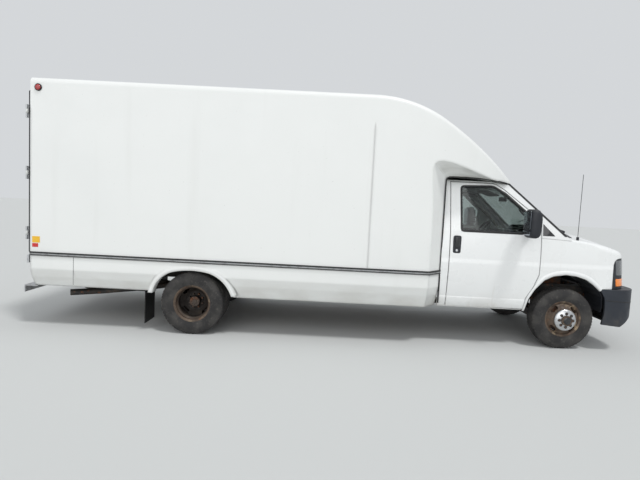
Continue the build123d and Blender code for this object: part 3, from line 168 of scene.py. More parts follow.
class Finish:
    """A procedural material: one shader with noise, grime and bump built from small steps."""

    def __init__(self, name, colour, roughness, metallic=0.0, **sockets):
        self.material = bpy.data.materials.new(name)
        self.material.use_nodes = True
        self.tree = self.material.node_tree
        self.shader = self.tree.nodes["Principled BSDF"]
        self.fill(self.shader, {"Base Color": (*colour, 1.0), "Roughness": roughness, "Metallic": metallic})
        self.fill(self.shader, {key.replace("_", " "): value for key, value in sockets.items()})
        self.place = self.node("ShaderNodeTexCoord", {}).outputs["Object"]
        self.colour = None

    def fill(self, node, values):
        """Sets or links a node's inputs."""
        for key, value in values.items():
            if isinstance(value, bpy.types.NodeSocket):
                self.tree.links.new(value, node.inputs[key])
            else:
                node.inputs[key].default_value = value

    def node(self, kind, values, **settings):
        """A new node with its settings and inputs."""
        node = self.tree.nodes.new(kind)
        for key, value in settings.items():
            setattr(node, key, value)
        self.fill(node, values)
        return node

    def noise(self, scale, detail, stretch=(1, 1, 1), distortion=0.0):
        mapping = self.node("ShaderNodeMapping", {"Vector": self.place, "Scale": stretch})
        values = {"Vector": mapping.outputs[0], "Scale": scale, "Detail": detail, "Distortion": distortion}
        return self.node("ShaderNodeTexNoise", values).outputs["Fac"]

    def wave(self, scale, direction):
        values = {"Vector": self.place, "Scale": scale, "Distortion": 0.0}
        return self.node("ShaderNodeTexWave", values, bands_direction=direction).outputs["Fac"]

    def span(self, value, low, high, out_low=0.0, out_high=1.0):
        """Value carried smoothly from one range to another."""
        values = {0: value, 1: low, 2: high, 3: out_low, 4: out_high}
        return self.node("ShaderNodeMapRange", values, interpolation_type="SMOOTHSTEP").outputs[0]

    def times(self, a, b):
        return self.node("ShaderNodeMath", {0: a, 1: b}, operation="MULTIPLY").outputs[0]

    def size(self, a):
        return self.node("ShaderNodeMath", {0: a}, operation="ABSOLUTE").outputs[0]

    def axis(self, letter):
        return self.node("ShaderNodeSeparateXYZ", {0: self.place}).outputs[letter]

    def along(self, letter, *ends):
        """The span of a place along an axis."""
        return self.span(self.axis(letter), *ends)

    def facing(self, letter):
        """The surface normal along one axis."""
        normal = self.node("ShaderNodeNewGeometry", {}).outputs["Normal"]
        return self.node("ShaderNodeSeparateXYZ", {0: normal}).outputs[letter]

    def tint(self, factor, colour):
        """Lays a colour over the surface where the factor says."""
        below = self.colour or tuple(self.shader.inputs["Base Color"].default_value)
        values = {0: factor, 6: below, 7: (*colour, 1.0)}
        self.colour = self.node("ShaderNodeMix", values, data_type="RGBA").outputs[2]
        self.fill(self.shader, {"Base Color": self.colour})
        return self

    def mottle(self, scale, detail, low, high, amount, colour, stretch=(1, 1, 1), distortion=0.0):
        """Patches of another colour."""
        factor = self.span(self.noise(scale, detail, stretch, distortion), low, high, 0.0, amount)
        return self.tint(factor, colour)

    def splash(self, high, low, patches, amount):
        """Road dust that thins out upward."""
        return self.tint(self.times(self.times(self.along("Z", high, low), patches), amount), DUST)

    def rough(self, factor, low, high):
        self.fill(self.shader, {"Roughness": self.span(factor, 0.3, 0.7, low, high)})

    def soften(self, radius):
        """Rounds the look of edges."""
        bevel = self.node("ShaderNodeBevel", {"Radius": radius}, samples=6)
        self.fill(self.shader, {"Normal": bevel.outputs[0]})

    def bump(self, height, strength, distance):
        values = {"Strength": strength, "Distance": distance, "Height": height}
        before = self.shader.inputs["Normal"].links
        if before:
            values["Normal"] = before[0].from_socket
        self.fill(self.shader, {"Normal": self.node("ShaderNodeBump", values).outputs[0]})
        return self

    def grain(self, scale, detail, strength, distance, stretch=(1, 1, 1)):
        """Fine relief."""
        return self.bump(self.noise(scale, detail, stretch), strength, distance)


def moulded_white():
    """Glass-fibre body: soft gloss, chalked and streaked, darker under the nose with grime streaks and
    painted shade, and grimy along the foot.
    """
    f = Finish("moulded_white", (0.80, 0.81, 0.79), 0.36, Coat_Weight=0.15, Coat_Roughness=0.3)
    f.mottle(0.55, 4.0, 0.42, 0.72, 0.35, (0.72, 0.735, 0.72))
    f.mottle(5.0, 5.0, 0.56, 0.78, 0.12, (0.60, 0.60, 0.56), (1.0, 1.0, 0.07))
    f.splash(0.82, 0.42, f.span(f.noise(2.6, 5.0, (1, 1, 2)), 0.28, 0.75), 0.26)
    # Painted shade mixed with grime streaks: the nose's downward faces are darkened in streaks
    soffit_shade = f.times(f.span(f.facing("Z"), -0.10, -0.6), f.along("Z", 1.5, 1.9))
    streaks = f.span(f.noise(7.0, 4.0, (0.5, 2.0, 0.3)), 0.30, 0.75, 0.10, 0.38)
    f.tint(f.times(soffit_shade, streaks), (0.30, 0.30, 0.25))
    f.tint(f.times(f.span(f.noise(70.0, 2.0), 0.74, 0.80), 0.35), GRIME)
    f.rough(f.noise(3.0, 4.0), 0.30, 0.46)
    f.soften(f.along("Z", 2.62, 2.50, 0.0, 0.045))
    f.grain(1.6, 2.0, 0.25, 0.02)
    return f.grain(160.0, 2.0, 0.05, 0.002).material


def cab_white():
    """Sprayed steel: a clear coat over white, dusty below the belt and dirtier at the sill."""
    f = Finish("cab_white", (0.81, 0.82, 0.81), 0.28, Coat_Weight=0.5, Coat_Roughness=0.12)
    f.mottle(0.9, 4.0, 0.45, 0.75, 0.3, (0.72, 0.735, 0.735))
    f.splash(0.70, 0.44, f.span(f.noise(3.0, 5.0, (1, 1, 2)), 0.28, 0.75), 0.25)
    drips = f.span(f.noise(14.0, 4.0, (1.0, 1.0, 0.06)), 0.60, 0.80, 0.0, 0.2)
    f.tint(f.times(drips, f.along("Z", 1.9, 0.5)), (0.45, 0.41, 0.34))
    f.rough(f.noise(4.0, 4.0), 0.22, 0.38)
    f.soften(0.014)
    crease = f.times(f.along("Z", 1.062, 0.998), f.span(f.size(f.facing("Y")), 0.55, 0.85))
    f.bump(crease, 1.0, 0.012)
    return f.grain(420.0, 1.0, 0.03, 0.001).material


def stippled(name, colour):
    """Moulded plastic gone grey in patches, with a painted highlight on its upward faces and a fine stipple.
    """
    f = Finish(name, colour, 0.5, Specular_IOR_Level=0.4)
    f.mottle(2.4, 5.0, 0.40, 0.75, 0.4, shade(colour, 1.5, 0.006))
    # Painted highlight: upward faces are painted a lighter grey
    f.tint(f.span(f.facing("Z"), 0.3, 1.0, 0.0, 0.30), (0.12, 0.12, 0.12))
    f.splash(0.55, 0.30, f.span(f.noise(6.0, 5.0), 0.35, 0.75), 0.22)
    f.rough(f.noise(7.0, 4.0), 0.42, 0.62)
    f.soften(0.016)
    return f.grain(520.0, 2.0, 0.35, 0.0012).material


def wheel_steel():
    """Painted steel gone to brown: rust and tan dust over grey, with painted shade deep in the rear wheels'
    dished centres.
    """
    f = Finish("wheel_steel", (0.115, 0.082, 0.058), 0.62, 0.15)
    f.mottle(7.0, 6.0, 0.40, 0.62, 0.85, (0.050, 0.034, 0.025), distortion=0.6)
    f.mottle(24.0, 5.0, 0.55, 0.74, 0.6, (0.16, 0.075, 0.038))
    f.mottle(10.0, 4.0, 0.56, 0.72, 0.85, (0.34, 0.26, 0.17))
    # Painted shade: the rear wheels are painted near black inboard, in the deep part of their dished centres
    dish_shade = f.times(f.span(f.size(f.axis("Y")), 1.135, 1.085), f.along("X", -1.0, -1.3, 0.0, 0.88))
    f.tint(dish_shade, (0.016, 0.013, 0.011))
    f.rough(f.noise(20.0, 4.0), 0.48, 0.8)
    return f.grain(110.0, 4.0, 0.35, 0.0015).material


def bare_metal(name, colour, roughness, dirt=0.4):
    """Plated or cast metal with a film of dirt."""
    f = Finish(name, colour, roughness, 0.9)
    f.mottle(16.0, 5.0, 0.45, 0.75, dirt, shade(colour, 0.45))
    f.rough(f.noise(22.0, 4.0), roughness * 0.8, roughness * 1.5)
    return f.grain(180.0, 3.0, 0.12, 0.001).material


def worn(name, colour, roughness, patches, grain=None, metallic=0.0, **sockets):
    """A plain finish with patches of other colours, as mottle() takes them, and a grain."""
    f = Finish(name, colour, roughness, metallic, **sockets)
    for patch in patches:
        f.mottle(*patch)
    if grain:
        f.grain(*grain)
    return f.material


def trim_plastic(name, colour):
    """Grained inside trim."""
    patch = (6.0, 5.0, 0.45, 0.75, 0.4, shade(colour, 0.7))
    return worn(name, colour, 0.62, [patch], (380.0, 3.0, 0.35, 0.001))


def window_glass():
    """Tinted glass with a little film on it."""
    f = Finish("window_glass", (0.50, 0.56, 0.54), 0.02, Transmission_Weight=1.0, IOR=1.45)
    f.fill(f.shader, {"Roughness": f.span(f.noise(8.0, 5.0), 0.45, 0.8, 0.02, 0.12)})
    return f.mottle(2.0, 3.0, 0.4, 0.8, 0.3, (0.46, 0.50, 0.48)).material


def lens(name, colour, scale):
    """Moulded lamp lens with fluting behind the surface."""
    f = Finish(name, colour, 0.12, Coat_Weight=0.8, Coat_Roughness=0.05)
    f.tint(f.span(f.wave(scale, "DIAGONAL"), 0.35, 0.75, 0.0, 0.5), shade(colour, 1.7, 0.02))
    return f.bump(f.wave(scale, "Z"), 0.5, 0.002).material


def lamp_reflector():
    """Fluted bright reflector behind a clear lens."""
    f = Finish("lamp_reflector", (0.16, 0.17, 0.18), 0.16, 0.45, Coat_Weight=1.0, Coat_Roughness=0.03)
    f.tint(f.span(f.wave(26.0, "Y"), 0.30, 0.70, 0.0, 0.85), (0.035, 0.038, 0.042))
    return f.bump(f.wave(26.0, "Y"), 0.7, 0.003).material


def floor_boards():
    """Hardwood boards laid along the body, scuffed by loading."""
    f = Finish("floor_boards", (0.30, 0.19, 0.10), 0.55)
    f.mottle(5.0, 6.0, 0.35, 0.65, 0.8, (0.19, 0.115, 0.06), (0.3, 4.0, 1.0))
    f.tint(f.span(f.wave(2.2, "Y"), 0.02, 0.0), (0.03, 0.022, 0.016))
    f.mottle(3.0, 5.0, 0.60, 0.78, 0.5, (0.42, 0.34, 0.25), (0.2, 1.0, 1.0))
    return f.grain(60.0, 4.0, 0.3, 0.002, (0.1, 1.0, 1.0)).material


def seat_cloth():
    """Woven seat cloth, near black, worn lighter."""
    f = Finish("seat_cloth", (0.030, 0.031, 0.034), 0.9, Sheen_Weight=0.25)
    f.mottle(4.0, 5.0, 0.45, 0.75, 0.6, (0.060, 0.060, 0.064))
    weave = f.times(f.wave(150.0, "X"), f.wave(150.0, "Z"))
    f.tint(f.span(weave, 0.2, 0.6, 0.0, 0.35), (0.085, 0.085, 0.09))
    return f.bump(weave, 0.4, 0.0015).material


def tread_plate():
    """Galvanised step with a raised lozenge pattern."""
    f = Finish("tread_plate", (0.52, 0.53, 0.54), 0.42, 0.85)
    f.mottle(14.0, 5.0, 0.42, 0.70, 0.6, (0.27, 0.26, 0.24))
    lozenge = f.times(f.wave(24.0, "X"), f.wave(24.0, "Y"))
    return f.bump(f.span(lozenge, 0.35, 0.6), 0.8, 0.003).material


def reflective_sheet(name, colour):
    """Sheeting with small cells."""
    f = Finish(name, colour, 0.25, Coat_Weight=0.6)
    cells = f.node("ShaderNodeTexVoronoi", {"Vector": f.place, "Scale": 260.0}).outputs["Distance"]
    f.tint(f.span(cells, 0.2, 0.7, 0.0, 0.35), shade(colour, 0.6))
    return f.bump(cells, 0.3, 0.001).material


WHITE_SHELL = moulded_white()
CAB_PAINT = cab_white()
CHARCOAL = stippled("charcoal_plastic", (0.021, 0.025, 0.033))
BLACK_PLASTIC = stippled("black_plastic", (0.017, 0.019, 0.024))
SEAL = worn("black_rubber", (0.014, 0.014, 0.015), 0.6, [(18.0, 4.0, 0.5, 0.8, 0.5, (0.05, 0.05, 0.048))],
            (300.0, 2.0, 0.2, 0.001))
RUBBER = worn("tyre_rubber", (0.032, 0.031, 0.031), 0.78,
              [(6.0, 6.0, 0.38, 0.70, 0.75, (0.075, 0.071, 0.066)),
               (38.0, 4.0, 0.55, 0.80, 0.5, (0.13, 0.12, 0.105))],
              (240.0, 3.0, 0.3, 0.0015), Specular_IOR_Level=0.25)
WHEEL = wheel_steel()
HUB_SILVER = bare_metal("hub_silver", (0.62, 0.63, 0.64), 0.28)
GALVANISED = bare_metal("galvanised", (0.50, 0.51, 0.52), 0.40, 0.55)
RAIL_METAL = bare_metal("rail_metal", (0.36, 0.37, 0.37), 0.40, 0.6)
CHASSIS = worn("chassis_black", (0.022, 0.021, 0.020), 0.6,
               [(7.0, 6.0, 0.42, 0.68, 0.7, (0.075, 0.062, 0.048)), (22.0, 5.0, 0.58, 0.74, 0.8, RUST)],
               (90.0, 4.0, 0.35, 0.002), 0.1)
IRON = worn("rusty_iron", (0.085, 0.066, 0.054), 0.7,
            [(12.0, 6.0, 0.42, 0.66, 0.9, RUST), (30.0, 4.0, 0.56, 0.76, 0.6, (0.16, 0.13, 0.10))],
            (120.0, 5.0, 0.5, 0.002), 0.3)
GLASS = window_glass()
MIRROR = worn("mirror_glass", (0.24, 0.26, 0.29), 0.04, [(9.0, 4.0, 0.4, 0.8, 0.3, (0.15, 0.16, 0.17))],
              metallic=1.0)
RED = lens("red_lens", (0.33, 0.012, 0.012), 40.0)
LAMP = lamp_reflector()
LAMP_AMBER = lens("amber_lamp", (0.95, 0.22, 0.010), 60.0)
GLOSS_BLACK = worn("glossy_black", (0.010, 0.011, 0.013), 0.18,
                   [(12.0, 5.0, 0.5, 0.8, 0.3, (0.05, 0.05, 0.05))], Coat_Weight=0.6, Coat_Roughness=0.08)
BOARDS = floor_boards()
CLOTH = seat_cloth()
TRIM = trim_plastic("trim_grey", (0.055, 0.055, 0.058))
DARK_TRIM = trim_plastic("trim_dark", (0.016, 0.017, 0.020))
PALE_TRIM = trim_plastic("trim_pale", (0.20, 0.20, 0.19))
PLATE_WHITE = trim_plastic("plate_white", (0.66, 0.67, 0.68))
TREAD_PLATE = tread_plate()
YELLOW = reflective_sheet("yellow_sheet", (0.90, 0.52, 0.02))
RED_SHEET = reflective_sheet("red_sheet", (0.62, 0.02, 0.015))

NODE_FINISH = {
    WHITE_SHELL: ("box_sides", "box_roof", "box_nose", "bulkhead", "box_skirts", "rear_door_right",
                  "rear_door_left"),
    CAB_PAINT: ("cab_body", "cab_door_right", "cab_door_left", "fenders", "hood"),
    CHARCOAL: ("front_bumper",),
    BLACK_PLASTIC: ("grille", "cowl", "mirror_right", "mirror_left", "steering_wheel", "antenna",
                    "wheelhouses", "headlamps"),
    SEAL: ("mud_flaps",),
    RUBBER: ("front_tyre_right", "front_tyre_left", "rear_tyres_right", "rear_tyres_left"),
    WHEEL: ("front_wheel_right", "front_wheel_left", "rear_wheels_right", "rear_wheels_left"),
    GALVANISED: ("rear_frame",),
    TREAD_PLATE: ("rear_bumper",),
    RAIL_METAL: ("rub_rails",),
    CHASSIS: ("frame_rails", "leaf_springs", "fuel_tank", "front_suspension", "exhaust_pipe"),
    IRON: ("rear_axle", "engine_block", "drivetrain", "knuckle_right", "knuckle_left"),
    GLASS: ("windshield", "door_glass_right", "door_glass_left"),
    RED: ("marker_lamps", "tail_lamps"),
    BOARDS: ("cargo_floor",),
    CLOTH: ("seats",),
    TRIM: ("cab_floor",),
    DARK_TRIM: ("dashboard",),
}


def finish_nodes():
    """Gives each CAD node its material, with soft shading across shallow edges."""
    for material, names in NODE_FINISH.items():
        for name in names:
            mesh = NODES[name].data
            mesh.materials.clear()
            mesh.materials.append(material)
            mesh.shade_smooth()
            mesh.set_sharp_from_angle(angle=radians(28))


# Making pieces
def add(name, data):
    """A new object in the scene."""
    obj = bpy.data.objects.new(name, data)
    bpy.context.scene.collection.objects.link(obj)
    return obj


def settle(name, work, material, body, sharp=35.0):
    """Turns a mesh in the making into a piece that rides on a body."""
    mesh = bpy.data.meshes.new(name)
    work.to_mesh(mesh)
    work.free()
    mesh.materials.append(material)
    mesh.shade_smooth()
    mesh.set_sharp_from_angle(angle=radians(sharp))
    obj = add(name, mesh)
    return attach(obj, body)


def reopened(mesh):
    """A mesh in the making that takes the place of a finished one."""
    work = bmesh.new()
    work.from_mesh(mesh)
    bpy.data.meshes.remove(mesh)
    return work


def piece(name, surface, material, body=TRUCK, sharp=35.0):
    """A surface, given as its points and its faces, made into a piece."""
    points, faces = surface
    draft = bpy.data.meshes.new("draft")
    draft.from_pydata([tuple(point) for point in points], [], faces)
    work = reopened(draft)
    bmesh.ops.remove_doubles(work, verts=work.verts, dist=1e-6)
    bmesh.ops.recalc_face_normals(work, faces=work.faces)
    return settle(name, work, material, body, sharp)


def lofted(rows, around=False, closed=False, caps=()):
    """Points and faces through rows of points.

    around joins each row's ends, closed joins the last row to the first, and each row in caps is filled.
    """
    size, count = len(rows[0]), len(rows)
    faces = []
    for k in range(count if closed else count - 1):
        m = (k + 1) % count
        for i in range(size if around else size - 1):
            j = (i + 1) % size
            faces.append((k * size + i, k * size + j, m * size + j, m * size + i))
    faces += [tuple(range(k * size, (k + 1) * size)) for k in caps]
    return [point for row in rows for point in row], faces


def ribbon(name, rows, material, body=TRUCK, closed=False, sharp=35.0):
    """A surface through rows of points."""
    return piece(name, lofted(rows, closed=closed), material, body, sharp)


def bevelled(work, size, angle, segments):
    """Rounds the edges of a mesh in the making that are sharper than an angle."""
    edges = [e for e in work.edges if len(e.link_faces) == 2 and e.calc_face_angle(0) > radians(angle)]
    bmesh.ops.bevel(work, geom=edges, offset=size, segments=segments, profile=0.6, affect="EDGES")


def rounded_box(name, low, high, material, bevel=0.006, body=TRUCK, turn=0.0):
    """A block between two corners with rounded edges, turned about its middle by degrees around Y."""
    low, high = Vector(map(min, low, high)), Vector(map(max, low, high))
    size = high - low
    work = bmesh.new()
    bmesh.ops.create_cube(work, size=1.0)
    bmesh.ops.scale(work, vec=size, verts=work.verts)
    bevelled(work, min(bevel, 0.45 * min(size)), 30, 3)
    if turn:
        spin = Matrix.Rotation(radians(turn), 3, "Y")
        bmesh.ops.rotate(work, verts=work.verts, cent=(0, 0, 0), matrix=spin)
    bmesh.ops.translate(work, vec=(low + high) / 2, verts=work.verts)
    return settle(name, work, material, body)


def slab(name, outline, place, depth, material, bevel, body=TRUCK, segments=2):
    """A flat outline carried through a depth; place(a, b, c) turns its own axes into the row frame."""
    work = bmesh.new()
    lower = [work.verts.new(place(a, b, 0.0)) for a, b in outline]
    upper = [work.verts.new(place(a, b, depth)) for a, b in outline]
    work.faces.new(lower)
    work.faces.new(upper[::-1])
    for i in range(len(outline)):
        j = (i + 1) % len(outline)
        work.faces.new((lower[i], upper[i], upper[j], lower[j]))
    bmesh.ops.recalc_face_normals(work, faces=work.faces)
    bevelled(work, bevel, 60, segments)
    return settle(name, work, material, body)


def sideways(side, out, start=0.0):
    """Places a slab's outline (along, height) on a side of the truck, its depth outward."""
    return lambda a, b, c: Vector((start + a, side * (out + c), b))


def rearward(x, side=1, middle=0.0):
    """Places a slab's outline (across, height) facing the rear, its depth backward."""
    return lambda a, b, c: Vector((x - c, side * (middle + a), b))


def upward(side, z):
    """Places a slab's plan (along, out) at a height, its depth upward."""
    return lambda a, b, c: Vector((a, side * b, z + c))


def turns(count, start=0.0):
    """Angles of equal steps round a circle."""
    return [2 * pi * (k + start) / count for k in range(count)]


def spoke(centre, out, radius, angle):
    """A point round the wheel's axis, a way out along Y."""
    return centre + Vector((radius * cos(angle), out, radius * sin(angle)))


def lathe(name, profile, centre, side, material, body=TRUCK, steps=64):
    """A profile of (distance outward along Y, radius) turned about the wheel's axis."""
    rows = [[spoke(centre, side * out, radius, angle) for out, radius in profile] for angle in turns(steps)]
    return piece(name, lofted(rows, closed=True), material, body)


def tube(name, points, radius, material, body=TRUCK, smooth=True, sides=8):
    """A round bar along a line of points."""
    curve = bpy.data.curves.new(name, "CURVE")
    curve.dimensions = "3D"
    spline = curve.splines.new("NURBS" if smooth else "POLY")
    spline.points.add(len(points) - 1)
    for point, place in zip(spline.points, points):
        point.co = (*place, 1.0)
    if smooth:
        spline.order_u = 3
        spline.use_endpoint_u = True
        curve.resolution_u = 8
    curve.bevel_depth = radius
    curve.bevel_resolution = sides // 4
    curve.use_fill_caps = True
    source = add(name, curve)
    bpy.context.view_layer.update()
    mesh = bpy.data.meshes.new_from_object(source.evaluated_get(bpy.context.evaluated_depsgraph_get()))
    bpy.data.objects.remove(source)
    bpy.data.curves.remove(curve)
    return settle(name, reopened(mesh), material, body, 50.0)


def laid(points, side=1, axle=FRONT_HUB):
    """Points (forward of an axle, out from the middle, height) in the row frame."""
    return [Vector((axle.x + x, side * y, z)) for x, y, z in points]


def rounded(outline, radius, steps=5):
    """An outline with its corners rounded."""
    done = []
    for i, corner in enumerate(outline):
        here = Vector(corner)
        back = Vector(outline[i - 1]) - here
        ahead = Vector(outline[(i + 1) % len(outline)]) - here
        cut = min(radius, 0.45 * back.length, 0.45 * ahead.length)
        start, end = here + back.normalized() * cut, here + ahead.normalized() * cut
        for k in range(steps + 1):
            t = k / steps
            done.append(tuple(start * (1 - t) ** 2 + here * 2 * t * (1 - t) + end * t ** 2))
    return done


def panel(x0, z0, x1, z1, radius, steps=5):
    """A rectangle with its corners rounded."""
    return rounded([(x0, z0), (x1, z0), (x1, z1), (x0, z1)], radius, steps)


def grown(outline, amount):
    """An outline moved outward along its own normals."""
    following = outline[1:] + outline[:1]
    area = sum(here[0] * after[1] - after[0] * here[1] for here, after in zip(outline, following))
    move = amount if area > 0 else -amount
    done = []
    for i, (x, y) in enumerate(outline):
        run = (Vector(following[i]) - Vector(outline[i - 1])).normalized()
        done.append((x + run.y * move, y - run.x * move))
    return done


def smooth_path(points, steps=6):
    """A Catmull-Rom line through points of any size."""
    done = []
    count = len(points)
    for i in range(count - 1):
        near = points[max(i - 1, 0)], points[i], points[i + 1], points[min(i + 2, count - 1)]
        for k in range(steps):
            t = k / steps
            done.append(tuple(0.5 * (2 * b + (c - a) * t + (2 * a - 5 * b + 4 * c - d) * t ** 2
                                     + (3 * b - a - 3 * c + d) * t ** 3)
                              for a, b, c, d in zip(*near)))
    return done + [tuple(points[-1])]


# Wheels
# Edges of the two grooves on one half of the tread, out from its middle, and their depth
RIB_EDGES = (0.013, 0.021, 0.045, 0.053)
GROOVE = 0.008
# Tread points by the quarter of a pitch at which they are cut, and how deep
PITCHES = 60
PLAIN, SHOULDER, RIB, MIDDLE = (None, 0.0), (0, 0.0065), (2, 0.003), (1, 0.003)
HUB_FACE = 0.156       # wheel centre line out to the front hub cover's foot
LUGS = 8
LUG_PITCH = 0.0825
DISC_SIDES = 20


def tyre(name, centre, body):
    """Tyre with ribbed tread, shoulder blocks and a stepped side wall."""
    half, crown, bottom = TYRE_HALF, TYRE_RADIUS, TYRE_RADIUS - GROOVE
    wall = ((0.081, 0.2045), (0.088, 0.214), (0.099, 0.2225), (0.1005, 0.232), (half - 0.004, 0.256),
            (half - 0.0035, 0.259), (half, 0.285), (half - 0.0005, 0.289), (half - 0.005, 0.325),
            (half - 0.008, 0.331), (half - 0.014, 0.349))
    a, b, c, d = RIB_EDGES
    flank = [(out, radius, PLAIN) for out, radius in wall]
    flank += [(half - 0.021, 0.361, SHOULDER), (half - 0.030, crown - 0.0025, SHOULDER),
              (0.060, crown - 0.0008, SHOULDER), (d, crown - 0.0006, RIB), (d - 0.001, bottom, PLAIN),
              (c + 0.001, bottom, PLAIN), (c, crown, RIB), (b, crown, MIDDLE), (b - 0.001, bottom, PLAIN),
              (a + 0.001, bottom, PLAIN), (a, crown, RIB)]
    section = flank + [(-out, radius, cut) for out, radius, cut in reversed(flank)]
    rows = []
    for k, angle in enumerate(turns(PITCHES * 4)):
        rows.append([spoke(centre, out, radius - (depth if k % 4 == quarter else 0.0), angle)
                     for out, radius, (quarter, depth) in section])
    return piece(name, lofted(rows, around=True, closed=True), RUBBER, body, sharp=32.0)


def studs(name, centre, side, pitch, levels, sides, material, body, start=0.0):
    """A circle of nuts or wells about the wheel's axis, through levels of (distance outward, radius)."""
    points, faces = [], []
    for around in turns(LUGS, start):
        middle = spoke(centre, 0, pitch, around)
        rings = []
        for out, radius in levels:
            rings.append([spoke(middle, side * out, radius, turn) for turn in turns(sides)])
        more, loops = lofted(rings, around=True, caps=(len(levels) - 1,))
        faces += [tuple(len(points) + i for i in loop) for loop in loops]
        points += more
    return piece(name, (points, faces), material, body, sharp=30.0)


def nuts(name, centre, side, pitch, radius, length, body, start=0.0):
    """A circle of hexagon nuts."""
    levels = ((0.0, radius), (length * 0.8, radius), (length, radius * 0.72))
    return studs(name, centre, side, pitch, levels, 6, IRON, body, start)


def outward(centre, distance):
    """A point moved along the wheel's axis."""
    return centre + Vector((0, distance, 0))


@each_side
def front_and_rear_wheels(name, side):
    """Tyres, hub covers, brakes and nuts."""
    body = f"front_wheel_{name}"
    hub = Vector((FRONT_HUB.x, side * abs(FRONT_HUB.y), HUB_Z))
    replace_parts(tyre(f"front_tyre_tread_{name}", hub, body), f"front_tyre_{name}")
    foot = outward(hub, side * HUB_FACE)
    cover = [(-0.016, 0.131), (-0.004, 0.131), (0.004, 0.126), (0.010, 0.112), (0.016, 0.104),
             (0.021, 0.062), (0.028, 0.056), (0.046, 0.052), (0.050, 0.047), (0.050, 0.043)]
    lathe(f"hub_cover_{name}", cover, foot, side, HUB_SILVER, body)
    cap = [(0.044, 0.044), (0.051, 0.043), (0.054, 0.038), (0.055, 0.024), (0.0555, 0.0)]
    lathe(f"hub_cap_{name}", cap, foot, side, GLOSS_BLACK, body, 40)
    well = ((0.0, 0.0185), (0.0155, 0.0185))
    studs(f"lug_wells_{name}", outward(hub, side * (HUB_FACE + 0.006)), side, LUG_PITCH, well, DISC_SIDES,
          GLOSS_BLACK, body)
    nuts(f"lug_nuts_{name}", outward(hub, side * (HUB_FACE + 0.020)), side, LUG_PITCH, 0.0095, 0.004, body)
    disc = [(-0.040, 0.168), (0.026, 0.170), (0.030, 0.164), (0.030, 0.070)]
    lathe(f"brake_disc_{name}", disc, hub, side, IRON, body, 48)

    body = f"rear_wheels_{name}"
    hub = Vector((REAR_HUB.x, side * abs(REAR_HUB.y), HUB_Z))
    for label, way in (("outer", side), ("inner", -side)):
        twin = tyre(f"rear_tyre_{label}_{name}", outward(hub, way * TWIN_HALF), body)
        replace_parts(twin, f"rear_tyres_{name}")
    nuts(f"rear_lugs_{name}", outward(hub, side * 0.010), side, LUG_PITCH, 0.0135, 0.034, body, 0.5)
    flange = [(0.100, 0.058), (0.104, 0.057), (0.104, 0.030), (0.110, 0.026), (0.110, 0.0)]
    lathe(f"axle_flange_{name}", flange, hub, side, IRON, body, 32)
    drum = [(-0.150, 0.164), (-0.072, 0.166), (-0.068, 0.160), (-0.068, 0.070)]
    lathe(f"brake_drum_{name}", drum, hub, side, IRON, body, 48)
    nuts(f"flange_bolts_{name}", outward(hub, side * 0.104), side, 0.043, 0.0075, 0.008, body)


# Cab
DOOR_REAR, DOOR_FRONT = -1.446, -0.507
WINDOW = [(-1.314, 1.392), (-0.531, 1.392), (-0.521, 1.640), (-0.777, 1.858), (-0.935, 1.942),
          (-1.318, 1.926)]
# Front wheel arch from the door to the bumper: place, height and the lip's width
ARCH = [(-0.476, 0.458, 0.019), (-0.444, 0.602, 0.028), (-0.380, 0.726, 0.030), (-0.282, 0.841, 0.050),
        (-0.179, 0.895, 0.052), (-0.030, 0.920, 0.052), (0.100, 0.908, 0.052), (0.222, 0.872, 0.052),
        (0.324, 0.806, 0.048), (0.400, 0.742, 0.040)]


def skin(x, z, side, proud):
    """A point on the cab's side at a place from the front axle and a height."""
    return Vector((front(x), side * (cab_half(z) + proud), z))


def skin_ring(outline, side, grow, proud):
    """An outline of (place, height), grown and laid on the cab's side."""
    return [skin(x, z, side, proud) for x, z in grown(outline, grow)]


@each_side
def window_seals(name, side):
    """Rubber round the side window, lapping the skin and the glass, and a strip along its sill."""
    rings = ((-0.012, -0.011), (-0.010, 0.0005), (-0.002, 0.0035), (0.010, 0.0035), (0.015, 0.0005),
             (0.016, -0.004))
    rows = [skin_ring(rounded(WINDOW, 0.034, 6), side, grow, proud) for grow, proud in rings]
    ribbon(f"window_seal_{name}", list(zip(*rows)), SEAL, f"cab_door_{name}", closed=True)
    sill = [(-1.322, 1.386), (-0.515, 1.386), (-0.515, 1.398), (-1.322, 1.398)]
    place = sideways(side, cab_half(WINDOW[0][1]) + 0.001, FRONT_HUB.x)
    slab(f"window_sill_strip_{name}", sill, place, 0.007, SEAL, 0.002, f"cab_door_{name}")


@each_side
def door_handles(name, side):
    """Black moulded handle in its cup, with the lock below the lever."""
    x0, x1, z0, z1 = rear(3.083), rear(3.178), 1.115, 1.330
    body, face, middle = f"cab_door_{name}", cab_half(1.22), (x0 + x1) / 2
    cup = panel(x0, z0, x1, z1, 0.026, 6)
    slab(f"handle_cup_{name}", cup, sideways(side, face - 0.006), 0.012, BLACK_PLASTIC, 0.003, body)
    lever = panel(middle - 0.026, z0 + 0.075, middle + 0.026, z1 - 0.016, 0.016)
    slab(f"handle_lever_{name}", lever, sideways(side, face + 0.006), 0.015, GLOSS_BLACK, 0.006, body,
         segments=3)
    rim = [(0.0, 0.015), (0.007, 0.015), (0.009, 0.012), (0.009, 0.0)]
    lock = Vector((middle, side * (face + 0.001), z0 + 0.036))
    lathe(f"door_lock_{name}", rim, lock, side, HUB_SILVER, body, 24)


